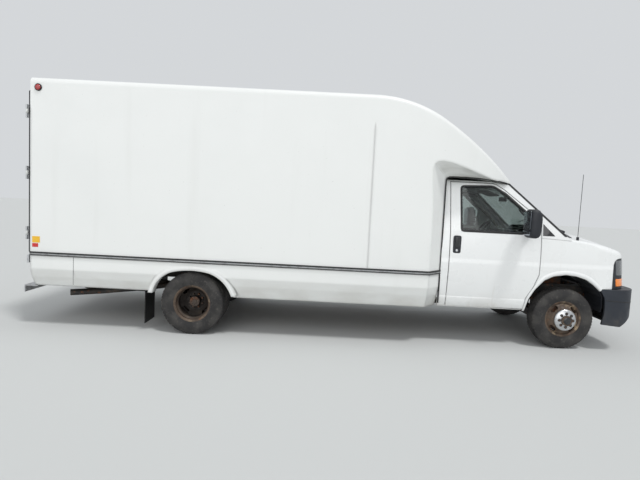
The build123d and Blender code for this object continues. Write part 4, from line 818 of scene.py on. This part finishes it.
@each_side
def rocker_panels(name, side):
    """Lower door panels, a little proud, with a crease along the top."""
    # Height and how proud, from the foot up
    levels = ((0.470, 0.0), (0.476, 0.0045), (0.530, 0.0055), (0.572, 0.0055), (0.583, 0.0040), (0.590, 0.0))
    for carrier, body, start, end, lean in (
            ("cab_door", f"cab_door_{name}", DOOR_REAR + 0.004, DOOR_FRONT + 0.002, 0.017),
            (TRUCK, TRUCK, -1.545, DOOR_REAR - 0.009, 0.0)):
        rows = []
        for k in range(13):
            row = []
            for z, proud in levels:
                run = end + lean * (z - 0.47) / 0.12 - start
                row.append(skin(start + run * k / 12, z, side, proud - 0.0005))
            rows.append(row)
        ribbon(f"rocker_{carrier}_{name}", rows, CAB_PAINT, body)


@each_side
def arch_lips(name, side):
    """Rolled lip round the front wheel arch."""
    # Share of the lip's width and how proud, from the arch out
    section = ((0.0, -0.012), (-0.002, 0.002), (0.10, 0.0085), (0.45, 0.0105), (0.80, 0.0075),
               (1.0, -0.0015))
    path = smooth_path(ARCH)
    rows = []
    for i, (x, z, width) in enumerate(path):
        ahead, back = path[min(i + 1, len(path) - 1)], path[max(i - 1, 0)]
        run = Vector((ahead[0] - back[0], ahead[1] - back[1])).normalized()
        row = []
        for share, proud in section:
            px, pz = x - run.y * width * share, z + run.x * width * share
            row.append((px, fender_half(px, pz) + proud, pz))
        rows.append(laid(row, side))
    ribbon(f"arch_lip_{name}", rows, CAB_PAINT, sharp=50.0)


@each_side
def cab_gaskets(name, side):
    """Black gasket where the load body meets the cab, up the rear edge and along the roof."""
    line = [(-1.548, 1.000, z) for z in (0.500, 0.700, 0.900, 1.100, 1.300, 1.500, 1.700, 1.850, 1.950)]
    line += [(-1.545, 0.998, 1.995), (-1.530, 0.994, 2.018), (-1.505, 0.990, 2.027), (-1.455, 0.985, 2.031),
             (-1.300, 0.980, 2.031), (-1.106, 0.970, 2.024), (-0.970, 0.960, 2.009), (-0.860, 0.940, 1.994),
             (-0.790, 0.910, 1.983), (-0.745, 0.880, 1.976)]
    tube(f"cab_gasket_{name}", laid(line, side), 0.009, SEAL)


@each_side
def sail_panels(name, side):
    """Black corner panel ahead of the door, under the pillar."""
    outline = rounded([(-0.338, 1.377), (-0.188, 1.377), (-0.330, 1.520)], 0.008, 3)
    rings = ((0.0, -0.002), (0.0, 0.002), (-0.004, 0.004))
    rows = [skin_ring(outline, side, grow, proud) for grow, proud in rings]
    piece(f"sail_panel_{name}", lofted(rows, around=True, caps=(2,)), GLOSS_BLACK)


@each_side
def mirrors(name, side):
    """Tall door mirror: rounded housing, two panes behind, on a foot and two arms."""
    # Housing levels from the foot up: height, half width across, rearward and forward reach
    levels = ((1.356, 0.080, 0.030, 0.030), (1.368, 0.104, 0.050, 0.052), (1.400, 0.114, 0.058, 0.072),
              (1.480, 0.119, 0.061, 0.080), (1.580, 0.119, 0.061, 0.080), (1.640, 0.115, 0.056, 0.070),
              (1.674, 0.100, 0.044, 0.046), (1.688, 0.072, 0.026, 0.022))
    x, y, body = rear(3.925), 1.205, f"cab_door_{name}"
    rows = []
    for z, half, back, ahead in levels:
        row = []
        for angle in turns(32):
            c, s = cos(angle), sin(angle)
            square = 1.0 / max(abs(c), abs(s)) ** 0.55
            reach = ahead if c > 0 else back
            row.append(Vector((x + c * square * reach, side * (y + s * square * half), z)))
        rows.append(row)
    shell = lofted(rows, around=True, caps=(0, len(rows) - 1))
    housing = piece(f"mirror_housing_{name}", shell, BLACK_PLASTIC, body, sharp=60.0)
    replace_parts(housing, f"mirror_{name}")
    for label, z0, z1 in (("main", 1.452, 1.660), ("spot", 1.384, 1.440)):
        pane = panel(-0.096, z0, 0.096, z1, 0.022)
        slab(f"mirror_pane_{label}_{name}", pane, rearward(x - 0.0605, side, y), 0.004, MIRROR, 0.001, body)
    foot = rounded([(-0.505, 1.412), (-0.386, 1.400), (-0.386, 1.530), (-0.470, 1.592)], 0.018)
    slab(f"mirror_foot_{name}", foot, lambda a, b, c: skin(a, b, side, c - 0.004), 0.026, BLACK_PLASTIC,
         0.006, body, segments=3)
    for z in (1.450, 1.520):
        arm = [skin(-0.450, z, side, 0.005), Vector((front(-0.470), side * 1.03, z + 0.004)),
               Vector((x + 0.02, side * 1.10, z + 0.006)), Vector((x, side * 1.14, z + 0.006))]
        tube(f"mirror_arm_{int(z * 1000)}_{name}", arm, 0.016, BLACK_PLASTIC, body, sides=16)


# Windshield: a point and the run of its slope, and how far its face bows out at the middle and the edge
SHIELD_X, SHIELD_Z = -0.366, 1.688
SHIELD_RUN = Vector((0.691, -0.552)).normalized()
SHIELD_BOW, SHIELD_EDGE, SHIELD_WIDE = 0.122, -0.100, 1.150
# Its head and foot: distance down the slope at the corners, curve at the middle, half width
SHIELD_HEAD, SHIELD_FOOT = (-0.363, 0.118, 0.760), (0.415, 0.112, 0.880)


def on_shield(down, y, proud=0.0):
    """A point on the windshield's face: distance down the slope, distance across."""
    bow = SHIELD_BOW - (SHIELD_BOW - SHIELD_EDGE) * (y / SHIELD_WIDE) ** 2 + proud
    x = SHIELD_X + SHIELD_RUN.x * down - SHIELD_RUN.y * bow
    z = SHIELD_Z + SHIELD_RUN.y * down + SHIELD_RUN.x * bow
    return Vector((front(x), y, z))


def shield_outline(grow):
    """Windshield's edge as (down, across), with its curved head and foot."""
    line = []
    for (down, curve, half), way in ((SHIELD_HEAD, 1), (SHIELD_FOOT, -1)):
        for k in range(15):
            t = way * (k / 7 - 1)
            line.append((down + curve * (1 - t * t), t * half))
    return grown(line, grow)


def shield_seals():
    """Black border under the edge of the windshield and the rubber round it, as (grow, proud) rings."""
    for name, rings, material in (
            ("border", ((0.004, -0.0095), (-0.045, -0.0105)), GLOSS_BLACK),
            ("rubber", ((-0.016, -0.008), (0.004, 0.003), (0.020, -0.002)), SEAL)):
        rows = [[on_shield(*point, proud) for point in shield_outline(grow)] for grow, proud in rings]
        ribbon(f"windshield_{name}", list(zip(*rows)), material, closed=True)


@each_side
def pillar_mouldings(name, side):
    """Black moulding over the edge of the windshield's pillar, on its flank and its face."""
    rows = []
    for k in range(25):
        down, edge = -0.455 + 0.900 * k / 24, 0.860
        for _ in range(4):
            edge = cab_half(on_shield(down, edge).z)
        corner = on_shield(down, edge)
        row = [Vector((corner.x - back, edge + proud, corner.z)) for back, proud in
               ((0.030, -0.003), (0.029, 0.0025), (0.003, 0.0035))]
        row += [on_shield(down, edge - inset, proud) for inset, proud in
                ((-0.001, 0.003), (0.030, 0.004), (0.104, 0.004), (0.107, -0.003))]
        rows.append([Vector((p.x, side * p.y, p.z)) for p in row])
    ribbon(f"pillar_moulding_{name}", rows, SEAL)


def wipers():
    """Band at the windshield's foot, wipers and the inside mirror."""
    foot, curve, _ = SHIELD_FOOT
    rows = []
    for k in range(29):
        t = k / 14 - 1
        rows.append([on_shield(foot + curve * (1 - t * t) + down, 0.930 * t, proud) for down, proud in
                     ((-0.004, -0.003), (0.000, 0.003), (0.088, 0.003), (0.092, -0.004))])
    ribbon("windshield_foot", rows, BLACK_PLASTIC)
    # Pivot across, blade ends as (down, across)
    for label, pivot, (d0, y0), (d1, y1) in (("right", -0.42, (0.300, -0.640), (0.440, -0.130)),
                                             ("left", 0.16, (0.330, 0.020), (0.400, 0.600))):
        base = on_shield(0.545, pivot, 0.012)
        rounded_box(f"wiper_pivot_{label}", base - Vector((0.055, 0.060, 0.030)),
                    base + Vector((0.055, 0.060, 0.014)), BLACK_PLASTIC, 0.012, turn=14)
        middle = on_shield((d0 + d1) / 2, (y0 + y1) / 2, 0.022)
        elbow = on_shield(0.47, (pivot + middle.y) / 2, 0.034)
        tube(f"wiper_arm_{label}", [base, elbow, middle], 0.007, BLACK_PLASTIC)
        line = [on_shield(d0 + (d1 - d0) * t, y0 + (y1 - y0) * t, 0.006) for t in (0, 0.25, 0.5, 0.75, 1)]
        tube(f"wiper_blade_{label}", line, 0.0065, SEAL)
    inside = on_shield(-0.17, 0.0, -0.10)
    rounded_box("inside_mirror", inside + Vector((-0.02, -0.12, -0.03)), inside + Vector((0.01, 0.12, 0.03)),
                DARK_TRIM, 0.012)
    tube("inside_mirror_stem", [on_shield(-0.18, 0.0, -0.022), inside], 0.007, DARK_TRIM)


# Front end
def lamp_plan(start, end):
    """The nose's plan at LEAN_Z from a half width on the face round to a place on the cheek."""
    face = [(nose_line(y), y) for y in (start, start + 0.035, 0.672, CORNER_END[1])]
    (cx, cy), radius, _ = CORNER
    first, last = [atan2(y - cy, x - cx) for x, y in (CORNER_END, CHEEK_END)]
    for k in range(1, 13):
        angle = first + (last - first) * k / 12
        face.append((cx + radius * cos(angle), cy + radius * sin(angle)))
    return face + [(x, fender_half(x, LEAN_Z)) for x in (CHEEK_END[0] - 0.012, end)]


@each_side
def lamps(name, side):
    """Headlamp lens and amber signal over their dark housing, to the front and round the corner."""
    # Share of the height and how proud
    section = ((0.0, -0.006), (0.01, 0.003), (0.06, 0.0065), (0.94, 0.0065), (0.99, 0.003), (1.0, -0.006))
    for label, z0, z1, end, material in (("main", 0.935, 1.120, 0.604, LAMP),
                                         ("signal", 0.800, 0.892, 0.602, LAMP_AMBER)):
        plan = lamp_plan(0.606, end)
        rows = []
        for k, (x, y) in enumerate(plan):
            ahead, back = Vector(plan[min(k + 1, len(plan) - 1)]), Vector(plan[max(k - 1, 0)])
            run = (ahead - back).normalized()
            row = []
            for share, proud in section:
                edge = section[0][1] if k in (0, len(plan) - 1) else proud
                z = z0 + (z1 - z0) * share
                row.append((x + LEAN * (LEAN_Z - z) + run.y * edge, y - run.x * edge, z))
            rows.append(laid(row, side))
        ribbon(f"lamp_{label}_{name}", rows, material)


def grille_bars():
    """Grey edges and posts over the grille."""
    for z in (0.790, 1.126):
        points = [(nose_line(y, z) + 0.001, y, z) for y in [-0.575 + 1.15 * k / 14 for k in range(15)]]
        tube(f"grille_edge_{int(z * 1000)}", laid(points), 0.008, CHARCOAL)
    for name, side in SIDES:
        post = [(nose_line(0.19, z), side * 0.19, z) for z in (0.794, 1.122)]
        tube(f"grille_post_{name}", laid(post), 0.009, CHARCOAL, smooth=False)


def bumper_groove():
    """Groove along the bumper, round both corners."""
    turn_end, nose = (0.905, 0.770), 0.950
    (cx, cy), radius, _ = tangent_arc((0.640, 0.996), (1, 0), turn_end)
    face_x, _, face_r = circle_through((turn_end[0], -turn_end[1]), (nose, 0.0), turn_end)
    last = atan2(turn_end[1] - cy, turn_end[0] - cx)
    corner = [pi / 2 + (last - pi / 2) * k / 10 for k in range(11)]
    plan = [(x, 0.9965) for x in (0.488, 0.560, 0.620)]
    plan += [(cx + radius * cos(angle), cy + radius * sin(angle)) for angle in corner]
    plan += [(face_x + sqrt(face_r ** 2 - y ** 2) - 0.0025, y) for y in (0.66, 0.50, 0.34, 0.17, 0.0)]
    line = plan + [(x, -y) for x, y in reversed(plan[:-1])]
    points = [(x, y, 0.606 + 0.027 * max(0.0, 0.90 - x) / 0.42) for x, y in line]
    tube("bumper_groove", laid(points), 0.0045, SEAL)


def antenna_base():
    """Rubber cone at the foot of the antenna."""
    low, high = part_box("antenna")
    foot = (low + high) / 2
    foot.z = low.z - 0.004
    cone = ((0.0, 0.0), (0.0, 0.017), (0.010, 0.015), (0.026, 0.007), (0.040, 0.0045), (0.040, 0.0))
    rows = [[foot + Vector((radius * cos(angle), radius * sin(angle), up)) for up, radius in cone]
            for angle in turns(24)]
    piece("antenna_base", lofted(rows, closed=True), SEAL)


# Load body
def rail_plan(proud):
    """Plan of the rub rail's turned-in end, its face a given way out of the load body's corner."""
    return [(RAIL_HIGH.x - 0.004, BOX_HALF + proud), (rear(2.773) + 0.34 * proud, BOX_HALF + proud),
            (rear(2.944) + 0.752 * proud, 1.000 + 0.659 * proud), (rear(2.942), 0.998), (rear(2.772), 1.192),
            (RAIL_HIGH.x - 0.004, 1.192)]


@each_side
def side_trim(name, side):
    """Black beads on the rub rail, marker lamp, coloured sheets near the rear edge, and a black plate in the
    rear arch that paints its shade.
    """
    y, proud = side * RAIL_HIGH.y, RAIL_HIGH.y - BOX_HALF
    for label, z0, z1 in (("upper", RAIL_HIGH.z - 0.014, RAIL_HIGH.z + 0.004),
                          ("lower", RAIL_LOW.z - 0.004, RAIL_LOW.z + 0.006)):
        rounded_box(f"rail_bead_{label}_{name}", (RAIL_LOW.x, y - side * 0.010, z0),
                    (RAIL_HIGH.x, y + side * 0.003, z1), SEAL, 0.002)
        bead = rail_plan(proud + 0.003)
        slab(f"rail_return_{label}_{name}", bead, upward(side, z0), z1 - z0, SEAL, 0.0015)
    slab(f"rail_turn_{name}", rail_plan(proud), upward(side, RAIL_LOW.z), RAIL_HIGH.z - RAIL_LOW.z,
         RAIL_METAL, 0.002)
    marker = Vector((rear(-1.813), side * (BOX_HALF + 0.0003), 2.791))
    rim = [(0.0, 0.041), (0.010, 0.041), (0.014, 0.038), (0.014, 0.031)]
    lathe(f"marker_rim_{name}", rim, marker, side, SEAL, steps=40)
    dome = [(0.012, 0.032), (0.017, 0.028), (0.021, 0.018), (0.0225, 0.0)]
    lathe(f"marker_dome_{name}", dome, marker, side, RED, steps=40)
    for label, x1, z0, z1, material in (("yellow", -1.790, 1.010, 1.084, YELLOW),
                                        ("red", -1.810, 0.958, 1.002, RED_SHEET)):
        sheet, place = panel(-1.880, z0, x1, z1, 0.004, 3), sideways(side, BOX_HALF, REAR_HUB.x)
        slab(f"{label}_sheet_{name}", sheet, place, 0.0022, material, 0.0006, segments=1)
    # Painted shade: a black plate inboard of the rear wheels darkens the arch
    rounded_box(f"arch_shade_plate_{name}", (rear(-0.45), side * 0.600 - 0.004, 0.655),
                (rear(0.45), side * 0.600 + 0.004, 0.875), BLACK_PLASTIC, 0.002)
    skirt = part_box("box_skirts")[1].y - 0.0095
    seam = laid([(-1.395, skirt, z) for z in (0.865, 0.70, 0.53)], side, REAR_HUB)
    tube(f"skirt_seam_{name}", seam, 0.0022, SEAL, smooth=False)


@each_side
def rear_end(name, side):
    """Lock rod, handle and gasket on the rear door, and its side's lamp rim and reverse lens."""
    low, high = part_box("rear_door_left")
    body, x, y = f"rear_door_{name}", LEAF_FACE - 0.026, side * 0.145
    rod = [Vector((x, y, low.z + 0.03)), Vector((x, y, high.z - 0.03))]
    tube(f"lock_rod_{name}", rod, 0.011, GALVANISED, body, False, 16)
    for n, z in enumerate((low.z + 0.10, low.z + 0.55, low.z + 1.10, high.z - 0.10)):
        rounded_box(f"rod_guide_{n}_{name}", (x - 0.014, y - 0.045, z - 0.030),
                    (LEAF_FACE + 0.001, y + 0.045, z + 0.030), GALVANISED, body=body)
    grip = ((0.0, 0.0, 1.42), (-0.016, 0.06, 1.42), (-0.018, 0.26, 1.40), (-0.016, 0.30, 1.395))
    tube(f"lock_handle_{name}", [Vector((x + back, y + side * out, z)) for back, out, z in grip], 0.012,
         GALVANISED, body, sides=16)
    catch = y + side * 0.27
    rounded_box(f"handle_catch_{name}", (x - 0.004, catch - 0.03, 1.370),
                (LEAF_FACE + 0.001, catch + 0.03, 1.440), IRON, 0.005, body)
    outline = panel(side * 0.012, low.z + 0.012, side * (high.y - 0.006), high.z - 0.012, 0.012, 3)
    loop = [Vector((LEAF_FACE - 0.002, a, b)) for a, b in outline]
    tube(f"door_gasket_{name}", loop + loop[:1], 0.006, SEAL, body, False)
    low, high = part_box("tail_lamps")
    middle, z = side * (high.y - 0.085), (low.z + high.z) / 2
    rim = panel(middle - 0.092, z - 0.038, middle + 0.092, z + 0.038, 0.018)
    slab(f"tail_lamp_rim_{name}", rim, rearward(high.x + 0.001), 0.011, SEAL, 0.003)
    white = panel(middle - side * 0.020, z - 0.020, middle - side * 0.062, z + 0.020, 0.006, 3)
    slab(f"reverse_lens_{name}", white, rearward(low.x + 0.001), 0.003, PLATE_WHITE, 0.001)


def plate():
    """Blank number plate."""
    slab("plate_blank", panel(-0.155, 0.635, 0.155, 0.790, 0.014, 4), rearward(BOX_REAR - 0.024), 0.003,
         PLATE_WHITE, 0.001)


# Cab inside
def pad(name, sections, half, side):
    """A seat pad through sections from (x0, z0) to (x1, z1), crowned, with its sides drawn in."""
    shares = [-1 + 2 * k / 12 for k in range(13)]
    rows = []
    for x0, z0, x1, z1, crown in sections:
        row = []
        for t in shares:
            swell = 1 + crown * (1 - abs(t) ** 3)
            row.append((x0 + (x1 - x0) * swell, side * SEAT_Y + t * half, z0 + (z1 - z0) * swell))
        row += [(x0, side * SEAT_Y + t * half * 0.97, z0) for t in reversed(shares)]
        rows.append(laid(row))
    cushion = piece(name, lofted(rows, around=True, caps=(0, len(rows) - 1)), CLOTH, sharp=70.0)
    soft = cushion.modifiers.new("soft", "SUBSURF")
    soft.levels = soft.render_levels = 1
    return cushion


@each_side
def seats(name, side):
    """Bucket seat: pedestal, cushion, reclined back and head rest."""
    y = side * SEAT_Y
    rounded_box(f"seat_base_{name}", (front(-1.215), y - 0.20, 0.746), (front(-0.885), y + 0.20, 0.965),
                DARK_TRIM, 0.02)
    cushion = [(-1.150, 0.968, -1.150, 1.060, 0.00), (-1.120, 0.966, -1.110, 1.085, 0.10),
               (-0.950, 0.966, -0.945, 1.078, 0.14), (-0.800, 0.972, -0.795, 1.095, 0.10),
               (-0.752, 0.985, -0.752, 1.080, 0.05), (-0.742, 1.010, -0.742, 1.050, 0.00)]
    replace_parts(pad(f"seat_cushion_{name}", cushion, 0.245, side), "seats")
    back = [(-1.215, 1.020, -1.150, 1.040, 0.0), (-1.240, 1.090, -1.140, 1.120, 0.10),
            (-1.290, 1.250, -1.170, 1.280, 0.22), (-1.330, 1.420, -1.215, 1.445, 0.16),
            (-1.365, 1.580, -1.262, 1.600, 0.10), (-1.370, 1.640, -1.290, 1.650, 0.0)]
    pad(f"seat_back_{name}", back, 0.240, side)
    rest = [(-1.372, 1.672, -1.320, 1.676, 0.0), (-1.380, 1.700, -1.308, 1.705, 0.12),
            (-1.390, 1.760, -1.322, 1.768, 0.12), (-1.388, 1.795, -1.340, 1.800, 0.0)]
    pad(f"head_rest_{name}", rest, 0.130, side)
    for label, offset in (("inner", -0.05), ("outer", 0.05)):
        post = laid([(-1.330, y + offset, 1.62), (-1.350, y + offset, 1.69)])
        tube(f"rest_post_{name}_{label}", post, 0.006, HUB_SILVER, smooth=False)


@each_side
def cab_inside(name, side):
    """Door trim, pillar trim, grab handle and sun visor."""
    # Height and depth behind the trim's face
    section = ((0.600, 0.0), (0.612, 0.006), (0.800, 0.008), (1.020, 0.008), (1.040, 0.042), (1.085, 0.046),
               (1.105, 0.012), (1.330, 0.010), (1.352, 0.0))
    start, end = DOOR_REAR + 0.060, DOOR_FRONT - 0.030
    rows = [[skin(start + (end - start) * k / 8, z, side, -0.062 - depth) for z, depth in section]
            for k in range(9)]
    ribbon(f"door_trim_{name}", rows, DARK_TRIM, f"cab_door_{name}")
    pillar = [(-0.800, 0.755, 1.885), (-0.560, 0.800, 1.700), (-0.330, 0.850, 1.510), (-0.220, 0.870, 1.400)]
    tube(f"pillar_trim_{name}", laid(pillar, side), 0.020, PALE_TRIM, sides=12)
    handle = [(-0.560, 0.770, 1.680), (-0.530, 0.735, 1.650), (-0.420, 0.755, 1.560), (-0.400, 0.800, 1.545)]
    tube(f"grab_handle_{name}", laid(handle, side), 0.011, DARK_TRIM, sides=12)
    rounded_box(f"sun_visor_{name}", (front(-0.93), side * 0.42 - 0.20, 1.862),
                (front(-0.76), side * 0.42 + 0.20, 1.878), PALE_TRIM, 0.007, turn=20)


def dash_pieces():
    """Instrument hood and face, vents, glove lid and radio."""
    (x, _, _), (_, _, top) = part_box("dashboard")
    rounded_box("instrument_hood", (x + 0.020, SEAT_Y - 0.21, top - 0.035),
                (x + 0.190, SEAT_Y + 0.21, top + 0.040), DARK_TRIM, 0.024)
    rounded_box("instrument_face", (x + 0.012, SEAT_Y - 0.17, top - 0.062),
                (x + 0.040, SEAT_Y + 0.17, top + 0.018), GLOSS_BLACK, 0.010)
    for n, y in enumerate((-0.76, -0.20, 0.16, 0.78)):
        rounded_box(f"dash_vent_{n}", (x - 0.004, y - 0.07, 1.222), (x + 0.03, y + 0.07, 1.282),
                    GLOSS_BLACK, 0.008)
    rounded_box("glove_lid", (x + 0.004, -0.66, 1.105), (x + 0.05, -0.26, 1.205), TRIM, 0.012, turn=-20)
    rounded_box("radio_panel", (x - 0.002, -0.13, 1.105), (x + 0.05, 0.10, 1.205), GLOSS_BLACK, 0.008)


# Stage
CAMERA_PLACE = (1.499 + REAR_HUB.x, -6.767, 1.653)
CAMERA_YAW, CAMERA_PITCH, CAMERA_ROLL = (radians(angle) for angle in (-0.18, -4.57, 2.89))
LENS_SHARE = 0.75      # focal length over picture width
SENSOR = 36.0
FLOOR_REACH = 60.0
FLOOR_COLOUR = (0.58, 0.59, 0.58)
BACKDROP_COLOUR = (0.66, 0.68, 0.70)
SKY_COLOUR, SKY_STRENGTH = (0.93, 0.96, 1.0), 0.62
# Direction the light travels, strength, softness in degrees
LAMPS = {"key": ((-0.276, 0.293, -0.915), 1.35, 9.0), "fill": ((0.18, 0.90, -0.30), 1.05, 60.0)}


def camera():
    """Camera as the photograph was taken."""
    level = Vector((cos(CAMERA_YAW), -sin(CAMERA_YAW), 0.0))
    forward = Vector((sin(CAMERA_YAW) * cos(CAMERA_PITCH), cos(CAMERA_YAW) * cos(CAMERA_PITCH),
                      sin(CAMERA_PITCH)))
    upright = level.cross(forward)
    right = level * cos(CAMERA_ROLL) + upright * sin(CAMERA_ROLL)
    above = upright * cos(CAMERA_ROLL) - level * sin(CAMERA_ROLL)
    data = bpy.data.cameras.new("camera")
    data.sensor_width = SENSOR
    data.lens = SENSOR * LENS_SHARE
    view = add("camera", data)
    turn = Matrix((right, above, -forward)).transposed().to_4x4()
    view.matrix_world = Matrix.Translation(CAMERA_PLACE) @ turn
    bpy.context.scene.camera = view
    bpy.context.scene.view_settings.view_transform = "Standard"


def floor():
    """A pale floor."""
    mesh = bpy.data.meshes.new("floor")
    corners = [(FLOOR_REACH * x, FLOOR_REACH * y, 0) for x, y in ((-1, -1), (1, -1), (1, 1), (-1, 1))]
    mesh.from_pydata(corners, [], [(0, 1, 2, 3)])
    mesh.materials.append(Finish("floor", FLOOR_COLOUR, 0.9, Specular_IOR_Level=0.1).material)
    add("floor", mesh)


def light():
    """Two soft lamps and an even sky, which the camera, metal and glass see as the backdrop's colour."""
    for name, (travel, strength, softness) in LAMPS.items():
        lamp = bpy.data.lights.new(name, "SUN")
        lamp.energy = strength
        lamp.angle = radians(softness)
        add(name, lamp).rotation_euler = Vector(travel).to_track_quat("-Z", "Y").to_euler()
    world = bpy.data.worlds.new("studio")
    bpy.context.scene.world = world
    world.use_nodes = True
    tree = world.node_tree
    sky = tree.nodes["Background"]
    sky.inputs["Color"].default_value = (*SKY_COLOUR, 1.0)
    sky.inputs["Strength"].default_value = SKY_STRENGTH
    backdrop = tree.nodes.new("ShaderNodeBackground")
    backdrop.inputs["Color"].default_value = (*BACKDROP_COLOUR, 1.0)
    rays = tree.nodes.new("ShaderNodeLightPath").outputs
    shown = rays["Is Camera Ray"]
    for kind in ("Is Transmission Ray", "Is Glossy Ray"):
        either = tree.nodes.new("ShaderNodeMath")
        either.operation = "MAXIMUM"
        tree.links.new(shown, either.inputs[0])
        tree.links.new(rays[kind], either.inputs[1])
        shown = either.outputs[0]
    mix = tree.nodes.new("ShaderNodeMixShader")
    for index, socket in enumerate((shown, sky.outputs[0], backdrop.outputs[0])):
        tree.links.new(socket, mix.inputs[index])
    tree.links.new(mix.outputs[0], tree.nodes["World Output"].inputs[0])


for build in (finish_nodes, camera, floor, light, front_and_rear_wheels, window_seals, door_handles,
              rocker_panels, arch_lips, cab_gaskets, sail_panels, mirrors, shield_seals, pillar_mouldings,
              wipers, lamps, grille_bars, bumper_groove, antenna_base, side_trim, rear_end, plate, seats,
              cab_inside, dash_pieces):
    build()
